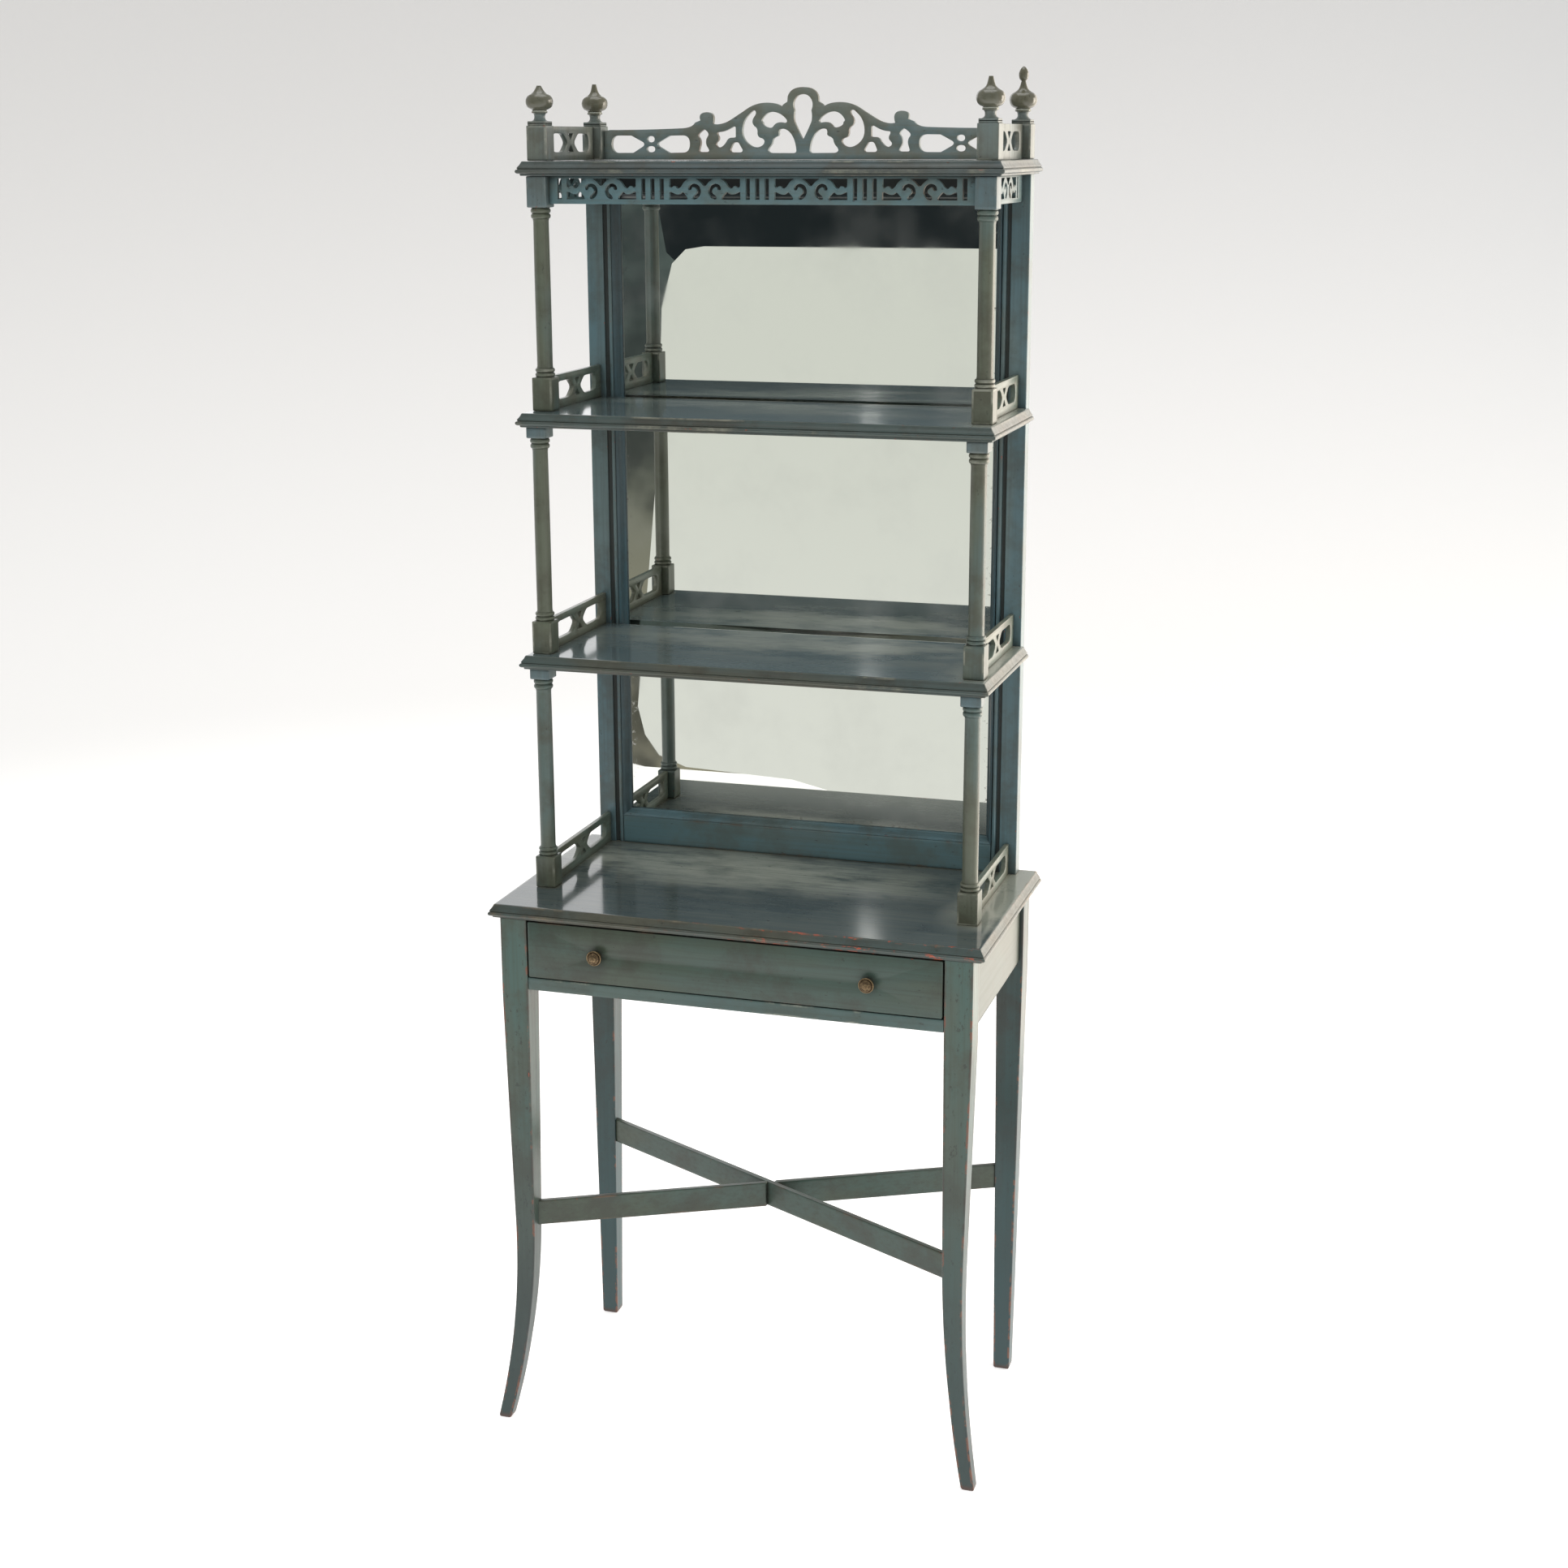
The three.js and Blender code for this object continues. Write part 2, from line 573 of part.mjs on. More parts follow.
function addShelves() {
  const butt = frameFront + fit;
  const lapping = mouldedBoard(shelfHalfWidth, topShelfFront, frameRearInset);
  addPart('shelf_lower', mouldedBoard(shelfHalfWidth, lowerShelfFront, butt), paint, 0, 0, lowerShelfTop);
  addPart('shelf_upper', mouldedBoard(shelfHalfWidth, upperShelfFront, butt), paint, 0, 0, upperShelfTop);
  addPart('shelf_top', lapping, paint, 0, 0, topShelfTop);
}

// A column from its square plinth, through a pair of beads at each end of the shaft, to its square capital
function columnGeometry(height, capital) {
  const half = blockWidth / 2;
  const shaftBottom = plinthHeight + baseBeadsHeight;
  const capitalBottom = height - capital;
  const shaftTop = capitalBottom - capitalBeadsHeight;
  return loft([
    turnedRing(0, half, true),
    turnedRing(plinthHeight, half, true),
    ...turnedRings(beadShares, plinthHeight, baseBeadsHeight, beadDiameter),
    turnedRing(shaftBottom, shaftDiameter / 2),
    turnedRing(shaftTop, shaftDiameter / 2),
    ...turnedRings(beadShares, shaftTop, capitalBeadsHeight, beadDiameter),
    turnedRing(capitalBottom, half, true),
    turnedRing(height, half, true),
  ]);
}

// The upright boards of a pierced gallery, its rear end at x = 0 before it is turned to run forward
function galleryGeometry(length) {
  const half = length / 2;
  const top = galleryHeight - galleryTopRail;
  const middle = (top + galleryBottomRail) / 2;
  const end = half - galleryEndMargin;
  const slope = galleryApexGap + gallerySlopeRun;
  const cut = galleryCornerCut;
  const window = [
    [galleryApexGap, middle], [slope, galleryBottomRail], [end - cut, galleryBottomRail],
    [end, galleryBottomRail + cut], [end, top - cut], [end - cut, top], [slope, top],
  ];
  const windowPoints = roundedPoints(window.map(([x, z]) => new THREE.Vector2(x, z)), galleryCornerRadius);
  const eye = (sign) => {
    const rim = sign > 0 ? top : galleryBottomRail;
    const tip = [0, rim - sign * galleryEyeHeight];
    const corners = [[-galleryEyeHalfWidth, rim], [galleryEyeHalfWidth, rim], tip];
    return roundedPoints(corners.map(([x, z]) => new THREE.Vector2(x, z)), galleryEyeRadius);
  };
  const openings = [windowPoints, mirroredPoints(windowPoints), eye(1), eye(-1)];
  const geometry = standingBoard(rectanglePoints(-half, half, 0, galleryHeight), openings, galleryThickness);
  return geometry.translate(half, galleryThickness / 2, 0).rotateZ(-Math.PI / 2);
}

function addGallery(name, side, rearReach, frontReach, z) {
  const length = frontReach - rearReach - 2 * fit;
  addPart(name, galleryGeometry(length), paint, side * columnX, yAt(rearReach + fit), z + fit);
}

function addTier(tier) {
  const reach = tier.shelfFront - columnFrontInset - blockWidth / 2;
  const height = tier.ceiling - tier.floor - 2 * fit;
  for (const [side, hand] of [[-1, 'left'], [1, 'right']]) {
    const column = columnGeometry(height, tier.capital);
    addPart(`column_${tier.name}_${hand}`, column, paint, side * columnX, yAt(reach), tier.floor + fit);
    addGallery(`gallery_${tier.name}_${hand}`, side, frameFront, reach - blockWidth / 2, tier.floor);
  }
}

// A post on the top shelf: a square block, a shoulder, a neck with a collar, a bulb and a spire,
// and on one of the four an acorn
function postGeometry(spire, hasAcorn) {
  const half = blockWidth / 2;
  const shoulderTop = postHeight + shoulderHeight;
  const neckTop = shoulderTop + neckHeight;
  const collarTop = neckTop + collarHeight;
  const bulbTop = collarTop + bulbHeight;
  const spireTop = bulbTop + spire;
  const rings = [
    turnedRing(0, half, true),
    turnedRing(postHeight, half, true),
    turnedRing(postHeight + shoulderHeight / 4, shoulderWidth / 2, true),
    turnedRing(shoulderTop, shoulderWidth / 2, true),
    turnedRing(shoulderTop, (shoulderWidth + neckDiameter) / 4),
    turnedRing(shoulderTop + neckHeight / 4, neckDiameter / 2),
    turnedRing(neckTop, neckDiameter / 2),
    turnedRing(neckTop, collarDiameter / 2),
    turnedRing(collarTop, collarDiameter / 2),
    ...turnedRings(bulbShares, collarTop, bulbHeight, bulbDiameter),
    turnedRing(spireTop, spireTipDiameter / 2),
  ];
  if (hasAcorn) rings.push(...turnedRings(acornShares, spireTop, acornHeight, acornDiameter));
  return loft(rings);
}

function addPosts() {
  const z = topShelfTop + fit;
  const front = yAt(postFrontReach);
  const rear = yAt(postRearReach);
  addPart('finial_post_front_left', postGeometry(shortSpireHeight, false), paint, -columnX, front, z);
  addPart('finial_post_front_right', postGeometry(spireHeight, false), paint, columnX, front, z);
  addPart('finial_post_rear_left', postGeometry(spireHeight, false), paint, -columnX, rear, z);
  addPart('finial_post_rear_right', postGeometry(acornSpireHeight, true), paint, columnX, rear, z);
  const rearEnd = postRearReach + blockWidth / 2;
  const frontEnd = postFrontReach - blockWidth / 2;
  addGallery('gallery_top_left', -1, rearEnd, frontEnd, topShelfTop);
  addGallery('gallery_top_right', 1, rearEnd, frontEnd, topShelfTop);
}

// The fretted board between the rear posts, its two halves mirrored
function addCrest() {
  const half = columnX - blockWidth / 2 - fit;
  const edge = [...tracePoints(crestEdgeShares, half, crestHeight), new THREE.Vector2(half, 0)];
  const keyhole = tracePoints(crestKeyholeShares, half, crestHeight);
  const openings = crestOpeningShares.map((strokes) => tracePoints(strokes, half, crestHeight));
  const all = [...openings, ...openings.map((points) => mirroredPoints(points))];
  all.push([...keyhole, ...mirroredPoints(keyhole)]);
  const geometry = standingBoard([...edge, ...mirroredPoints(edge)], all, crestThickness);
  addPart('crest', geometry, paint, 0, yAt(crestReach - crestThickness), topShelfTop + fit);
}

// A fretted board of whole repeats about its middle, with three slots between repeats and one at each end
function friezeGeometry(length) {
  const bottom = friezeBottomRail;
  const band = friezeHeight - friezeTopRail - friezeBottomRail;
  const count = Math.max(1, Math.floor(length / friezePitch));
  const openings = [];
  const addOpening = (points, x) => openings.push(shiftedPoints(points, x, bottom));
  const slot = rectanglePoints(-friezeSlotWidth / 2, friezeSlotWidth / 2, 0, band);
  for (let i = 0; i < count; i++) {
    const start = (i - count / 2) * friezePitch;
    for (const strokes of friezePairShares) {
      const points = tracePoints(strokes, friezePitch, band);
      addOpening(points, start);
      addOpening(mirroredPoints(points, friezePitch / 2), start);
    }
    addOpening(tracePoints(friezeMiddleShares, friezePitch, band), start);
    addOpening(slot, start + friezeSlotSpacing);
    addOpening(slot, start + friezePitch - friezeSlotSpacing);
    if (i > 0) addOpening(slot, start);
  }
  return standingBoard(rectanglePoints(-length / 2, length / 2, 0, friezeHeight), openings, friezeThickness);
}

function addFriezes() {
  const z = topShelfUnderside - fit - friezeHeight;
  const blockReach = topShelfFront - columnFrontInset - blockWidth / 2;
  const length = 2 * (columnX - blockWidth / 2 - fit);
  addPart('frieze_front', friezeGeometry(length), bluePaint, 0, yAt(blockReach - friezeThickness / 2), z);
  const sideLength = blockReach - blockWidth / 2 - frameFront - 2 * fit;
  for (const [side, hand] of [[-1, 'left'], [1, 'right']]) {
    const geometry = friezeGeometry(sideLength);
    geometry.translate(sideLength / 2, friezeThickness / 2, 0).rotateZ(-Math.PI / 2);
    addPart(`frieze_${hand}`, geometry, bluePaint, side * columnX, yAt(frameFront + fit), z);
  }
}

const frameOuterX = shelfHalfWidth - columnSideInset;
const frameInnerX = frameOuterX - stileFaceWidth - stileGrooveWidth - stileBeadWidth;
const frameBottom = tableTop + fit;
const frameTop = topShelfUnderside - fit;
const lightBottom = frameBottom + bottomRailHeight;
const lightTop = frameTop - topRailHeight;
const mirrorRear = frameRearInset + backBoardThickness + fit;
const mirrorFront = mirrorRear + mirrorThickness;

// An upright of the back frame: a flat face, a groove, and a bead along the inner edge
function addStile(side, hand) {
  const groove = frameOuterX - stileFaceWidth;
  const bead = groove - stileGrooveWidth;
  const round = stileBeadWidth / 4;
  const section = [
    [frameOuterX, frameRearInset], [frameOuterX, frameFront], [groove, frameFront],
    [groove, frameFront - stileGrooveDepth], [bead, frameFront - stileGrooveDepth],
    [bead, frameFront - round], [bead - round, frameFront], [frameInnerX + round, frameFront],
    [frameInnerX, frameFront - round], [frameInnerX, frameRearInset],
  ];
  const outline = section.map(([x, reach]) => new THREE.Vector2(side * x, yAt(reach)));
  const shape = new THREE.Shape(side > 0 ? outline.reverse() : outline);
  const geometry = new THREE.ExtrudeGeometry(shape, { depth: frameTop - frameBottom, bevelEnabled: false });
  addPart(`back_stile_${hand}`, geometry, bluePaint, 0, 0, frameBottom);
}

function addFrameRails() {
  const width = [fit - frameInnerX, frameInnerX - fit];
  const reaches = [frameRearInset, frameFront];
  addBoard('back_rail_bottom', bluePaint, width, reaches, [frameBottom, lightBottom]);
  addBoard('back_rail_top', bluePaint, width, reaches, [lightTop, frameTop]);
}

function addMirror() {
  const width = [fit - frameInnerX, frameInnerX - fit];
  const heights = [lightBottom + fit, lightTop - fit];
  addBoard('back_board', bareWood, width, [frameRearInset, frameRearInset + backBoardThickness], heights);
  addBoard('mirror', silvering, width, [mirrorRear, mirrorFront], heights);
}

// A strip of the sight moulding along x, its outer edge down and its ends mitred
function sightStrip(outerLength) {
  const back = yAt(mirrorFront + fit);
  const front = sightShares.map(([inShare, dropShare]) => [
    yAt(frameFront - dropShare * sightMouldingDrop), inShare * sightMouldingWidth]);
  const section = [[back, 0], [back, sightMouldingWidth], ...front.reverse()];
  const ends = [-1, 1].map((end) => section.map(([y, inward]) => (
    new THREE.Vector3(end * (outerLength / 2 - inward - fit), y, inward + fit))));
  return loft(ends);
}

function addSightMoulding() {
  const width = 2 * frameInnerX;
  const height = lightTop - lightBottom;
  const middleZ = (lightBottom + lightTop) / 2;
  const upright = sightStrip(height);
  addPart('sight_moulding_bottom', sightStrip(width), bluePaint, 0, 0, lightBottom);
  addPart('sight_moulding_top', sightStrip(width), bluePaint, 0, 0, lightTop).rotation.y = Math.PI;
  addPart('sight_moulding_left', upright, bluePaint, -frameInnerX, 0, middleZ).rotation.y = Math.PI / 2;
  addPart('sight_moulding_right', upright, bluePaint, frameInnerX, 0, middleZ).rotation.y = -Math.PI / 2;
}

const tiers = [
  {
    name: 'lower', floor: tableTop, ceiling: lowerShelfTop - boardThickness,
    shelfFront: lowerShelfFront, capital: capitalHeight,
  },
  {
    name: 'middle', floor: lowerShelfTop, ceiling: upperShelfTop - boardThickness,
    shelfFront: upperShelfFront, capital: capitalHeight,
  },
  {
    name: 'upper', floor: upperShelfTop, ceiling: topShelfUnderside,
    shelfFront: topShelfFront, capital: upperCapitalHeight,
  },
];

addTableTop();
addAprons();
addFrontRail();
addDrawerFront();
addDrawerBox();
for (const [side, hand] of [[-1, 'left'], [1, 'right']]) {
  addLegs(side, hand);
  addRunner(side, hand);
  addKnob(side, hand);
  addStile(side, hand);
}
addStretchers();
addShelves();
tiers.forEach(addTier);
addPosts();
addCrest();
addFriezes();
addFrameRails();
addMirror();
addSightMoulding();

export default etagere;
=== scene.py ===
"""The looks of a painted etagere: a table with one drawer, three shelves on turned columns, a mirror behind
them, pierced galleries at the sides and a fretted crest between finials.

Each board, leg, column, post and fretted piece is modelled here with its soft arrises and its turnings,
in the place that the CAD node gives it. Lengths are in millimetres, apart from the stage, which is in metres.
"""

import math
from functools import partial
from types import SimpleNamespace

import bmesh
import bpy
import numpy as np
from mathutils import Matrix, Vector
from mathutils.geometry import delaunay_2d_cdt


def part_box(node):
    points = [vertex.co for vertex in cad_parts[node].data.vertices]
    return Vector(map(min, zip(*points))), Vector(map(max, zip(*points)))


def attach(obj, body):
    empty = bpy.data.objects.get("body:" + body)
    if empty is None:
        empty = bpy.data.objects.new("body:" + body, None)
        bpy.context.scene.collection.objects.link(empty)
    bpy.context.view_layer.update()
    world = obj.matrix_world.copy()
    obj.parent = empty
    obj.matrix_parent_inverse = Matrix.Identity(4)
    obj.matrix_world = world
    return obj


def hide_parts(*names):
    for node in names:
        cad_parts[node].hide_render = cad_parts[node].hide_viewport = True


MM = 0.001
METRE = 1000.0

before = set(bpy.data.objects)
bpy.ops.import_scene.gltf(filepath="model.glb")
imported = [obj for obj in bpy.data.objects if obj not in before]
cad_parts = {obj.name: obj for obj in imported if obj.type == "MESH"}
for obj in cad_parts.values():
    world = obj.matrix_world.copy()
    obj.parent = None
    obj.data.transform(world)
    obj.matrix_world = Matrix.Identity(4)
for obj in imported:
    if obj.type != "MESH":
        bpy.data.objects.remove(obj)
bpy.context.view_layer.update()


# Nodes. A kind of node is its type and its settings

COORDINATES = ("ShaderNodeTexCoord", {})
PARTS = ("ShaderNodeSeparateXYZ", {})
STRETCH = ("ShaderNodeMapping", {})
NOISE = ("ShaderNodeTexNoise", {})
RAMP = ("ShaderNodeMapRange", {"interpolation_type": "SMOOTHSTEP"})
BLEND = ("ShaderNodeMix", {"data_type": "RGBA"})
BLEND_VALUES = ("ShaderNodeMix", {"data_type": "FLOAT"})
PLUS = ("ShaderNodeMath", {"operation": "ADD"})
MINUS = ("ShaderNodeMath", {"operation": "SUBTRACT"})
TIMES = ("ShaderNodeMath", {"operation": "MULTIPLY"})
OVER = ("ShaderNodeMath", {"operation": "DIVIDE"})
LARGER = ("ShaderNodeMath", {"operation": "MAXIMUM"})
SMALLER = ("ShaderNodeMath", {"operation": "MINIMUM"})
UNSIGNED = ("ShaderNodeMath", {"operation": "ABSOLUTE"})
WHOLE = ("ShaderNodeMath", {"operation": "FLOOR"})
BACK_AND_FORTH = ("ShaderNodeMath", {"operation": "PINGPONG"})
DISTANCE = ("ShaderNodeVectorMath", {"operation": "LENGTH"})
MOVE = ("ShaderNodeVectorMath", {"operation": "ADD"})
FROM_PARTS = ("ShaderNodeCombineXYZ", {})
GEOMETRY = ("ShaderNodeNewGeometry", {})
# The wear also carries painted light in the paint: above 1.3 a painted highlight, below 0 painted shade in
# grooves
WEAR_AND_PAINTED_LIGHT = ("ShaderNodeAttribute", {"attribute_name": "wear"})
OPENNESS = ("ShaderNodeAmbientOcclusion", {"samples": 5})
BUMP = ("ShaderNodeBump", {})
SURFACE = ("ShaderNodeBsdfPrincipled", {})
GLOW = ("ShaderNodeEmission", {})
FINISHED = ("ShaderNodeOutputMaterial", {})


def add_node(tree, kind, *inputs):
    """Adds a node of a kind and sets or links its inputs, which come in the order of the sockets in use, or
    as one dict by name. A node given as an input stands for its first output in use."""
    node_type, settings = kind
    made = tree.nodes.new(node_type)
    for setting, value in settings.items():
        setattr(made, setting, value)
    if inputs and isinstance(inputs[0], dict):
        pairs = [(made.inputs[name], value) for name, value in inputs[0].items()]
    else:
        pairs = zip([socket for socket in made.inputs if socket.enabled], inputs)
    for socket, value in pairs:
        if isinstance(value, bpy.types.Node):
            value = next(output for output in value.outputs if output.enabled)
        if isinstance(value, bpy.types.NodeSocket):
            tree.links.new(value, socket)
        else:
            socket.default_value = value
    return made


def new_material(name):
    """An empty material, and add_node for its own nodes."""
    material = bpy.data.materials.new(name)
    material.use_nodes = True
    material.node_tree.nodes.clear()
    return material, partial(add_node, material.node_tree)


def linear(hex_colour):
    """An sRGB hex colour as linear RGBA."""
    channels = [int(hex_colour[i:i + 2], 16) / 255 for i in (1, 3, 5)]
    return [c / 12.92 if c <= 0.04045 else ((c + 0.055) / 1.055) ** 2.4 for c in channels] + [1.0]


def marks(axis, size):
    """Scales that give a pattern marks of one size along the axis and another across it."""
    along, across = size
    return [METRE / (along if name == axis else across) for name in "xyz"]


# Old oil paint, brushed on by hand and glazed. Sizes of its marks, along and across the brush strokes

BRISTLE_MARKS = (200.0, 4.35)
UNEVEN_PATCHES = (312.5, 90.9)
FLECKS = (11.11, 5.263)
GLAZE_CLOUDS = 71.43
# The wisps and the patch below belong to the waxed tops' haze and painted sheen
WAX_AND_SHEEN_WISPS = (142.9, 66.67)
SHEEN_HAZE_PATCH = (384.6, 111.1)


def brushed_coat(add, axis, body, cool, glaze, relief):
    """The sound paint: a body colour with cooler patches, and a glaze that lies in brush marks and clouds."""
    place = add(COORDINATES).outputs["Object"]
    x, y, z = add(PARTS, place).outputs
    brush = add(NOISE, add(STRETCH, {"Vector": place, "Scale": marks(axis, BRISTLE_MARKS)}), 1.0, 4.0, 0.6)
    patch = add(NOISE, add(STRETCH, {"Vector": place, "Scale": marks(axis, UNEVEN_PATCHES)}), 1.0, 3.0, 0.55)
    fleck = add(NOISE, add(STRETCH, {"Vector": place, "Scale": marks(axis, FLECKS)}), 1.0, 3.0, 0.65)
    cloud = add(NOISE, place, METRE / GLAZE_CLOUDS, 6.0, 0.68)
    streaks = add(TIMES, add(RAMP, brush, 0.4, 0.75), 0.42)
    clouded = add(TIMES, add(RAMP, cloud, 0.42, 0.66), 0.68)
    colour = add(BLEND, add(RAMP, patch, 0.4, 0.57), linear(body), linear(cool))
    colour = add(BLEND, streaks, colour, linear(glaze))
    colour = add(BLEND, clouded, colour, linear(glaze))
    # The smoother the coat, the less its roughness varies
    satin, spread = 0.37, 0.28 * relief
    roughness = add(RAMP, brush, 0.3, 0.75, satin - spread, satin + spread)
    edge = add(WEAR_AND_PAINTED_LIGHT).outputs["Fac"]
    # The last colour is the dark of the corners painted grimy and in painted shade
    return SimpleNamespace(axis=axis, place=place, x=x, y=y, z=z, brush=brush, fleck=fleck, cloud=cloud,
                           streaks=streaks, edge=edge, arris=add(RAMP, edge, 0.1, 0.7), colour=colour,
                           roughness=roughness, relief=relief, shade_and_dust=linear("#24241f"))


def brown_the_crown(add, coat, crown):
    """Above this height hands have left the paint browner and glossier, as on the finials."""
    above = add(RAMP, coat.z, (crown - 3) * MM, (crown + 3) * MM)
    coat.colour = add(BLEND, add(TIMES, above, 0.8), coat.colour, linear("#55513f"))
    coat.roughness = add(TIMES, coat.roughness, add(RAMP, above, 0.0, 1.0, 1.0, 0.5))


def wax_and_sheen_the_top(add, coat, top, haze):
    """An upward face is darker and smooth with wax, which has gone cloudy in one patch; the patch is painted
    pale, wax haze and a painted sheen. haze is the middle of that patch and how strong it is."""
    upward = add(RAMP, add(PARTS, add(GEOMETRY).outputs["Normal"]).outputs["Z"], 0.9, 0.99)
    waxed = add(BLEND, coat.streaks, linear(top), linear("#464a41"))
    coat.colour = add(BLEND, upward, coat.colour, waxed)

    haze_x, haze_y, strength = haze
    length, depth = SHEEN_HAZE_PATCH
    from_middle = add(STRETCH, {
        "Vector": coat.place, "Scale": (METRE / length, METRE / depth, 0.0),
        "Location": (-haze_x / length, -haze_y / depth, 0.0)})
    drawn_out = add(STRETCH, {"Vector": coat.place, "Scale": marks(coat.axis, WAX_AND_SHEEN_WISPS)})
    wisps = add(NOISE, drawn_out, 1.0, 5.0, 0.62)
    bloom_and_sheen = add(TIMES, add(RAMP, wisps, 0.28, 0.62),
                add(RAMP, add(DISTANCE, from_middle), 0.2, 1.3, strength, 0.12 * strength))
    bloom_and_sheen = add(TIMES, bloom_and_sheen, add(RAMP, coat.brush, 0.3, 0.6, 0.7, 1.0))
    # Dust and wear dull the end beyond the right-hand columns too, and a painted sheen lightens it
    at_the_end = add(RAMP, coat.x, 220 * MM, 300 * MM, 0.0, 0.8)
    dust_and_sheen_at_end = add(TIMES, at_the_end, add(RAMP, coat.cloud, 0.35, 0.5, 0.5, 1.0))
    dust_and_sheen_at_end = add(TIMES, dust_and_sheen_at_end, add(RAMP, coat.y, -130 * MM, -30 * MM))
    bloom_and_sheen = add(TIMES, add(LARGER, bloom_and_sheen, dust_and_sheen_at_end), upward)
    # The patch is painted pale: wax haze and a painted sheen
    coat.colour = add(BLEND, add(TIMES, bloom_and_sheen, 0.9), coat.colour, linear("#a5aa9e"))
    coat.roughness = add(BLEND_VALUES, upward, coat.roughness, add(RAMP, bloom_and_sheen, 0.0, 0.9, 0.1, 0.17))
    coat.relief = add(RAMP, upward, 0.0, 1.0, coat.relief, 0.012)
    # Dust lies on a top where something stands on it, so its corners are painted dusty in place of the
    # painted shade
    coat.shade_and_dust = add(BLEND, upward, coat.shade_and_dust, linear("#77745f"))


def rub_and_light_the_arrises(add, coat, worn, rub_and_highlight, primer, chips_to_the_right):
    """Arrises worn to the brown below, or to a pale tone that is also a painted highlight, chips down to
    the red primer, and pale undercoat where most is gone, which on beads and collars is also a painted
    highlight.
    """
    # Where its colour is pale, the worn arris is also a painted highlight
    rubbed_and_lit = add(TIMES, coat.arris, add(RAMP, coat.cloud, 0.62 - 0.2 * worn, 0.72 - 0.1 * worn, 0.0, 0.8))
    coat.colour = add(BLEND, rubbed_and_lit, coat.colour, linear(rub_and_highlight))
    least = 0.7 - 0.14 * primer
    red = add(TIMES, coat.arris, add(RAMP, coat.fleck, least, least + 0.04, 0.0, min(1.0, 0.4 + primer)))
    if chips_to_the_right:
        more = add(TIMES, add(RAMP, coat.x, -120 * MM, 150 * MM, 0.05, 1.0), add(RAMP, coat.cloud, 0.4, 0.52))
        on_the_front = add(RAMP, coat.y, -165 * MM, -150 * MM, 1.0, 0.1)
        red = add(TIMES, red, add(TIMES, more, on_the_front))
    coat.colour = add(BLEND, red, coat.colour, linear("#ad4a2c"))
    # Past a wear of 1.3 the pale undercoat shows; on beads and collars it is also a painted highlight
    ground_and_highlight = add(RAMP, coat.edge, 1.3, 2.0, 0.0, 0.9)
    coat.colour = add(BLEND, ground_and_highlight, coat.colour, linear("#b4b9ae"))


def shade_and_scuff_the_feet(add, coat, floor_shade):
    """A leg is painted darker towards the floor, a painted shade. Its lowest arrises are scuffed bare,
    and its sole is brown.
    """
    # Painted shade, deepening from 660 mm down to the floor
    coat.colour = add(BLEND, add(RAMP, coat.z, 0.0, 660 * MM, 0.88, 0.0), coat.colour, linear(floor_shade))
    kept = add(TIMES, add(RAMP, coat.z, 20 * MM, 160 * MM), add(RAMP, coat.cloud, 0.38, 0.5))
    scuffed = add(TIMES, coat.arris, add(RAMP, kept, 0.0, 1.0, 1.0, 0.0))
    scuffed = add(TIMES, scuffed, add(RAMP, coat.fleck, 0.44, 0.56))
    coat.colour = add(BLEND, scuffed, coat.colour, linear("#6b4535"))
    sole = add(RAMP, coat.z, 2 * MM, 10 * MM, 0.8, 0.0)
    coat.colour = add(BLEND, sole, coat.colour, linear("#4a3026"))


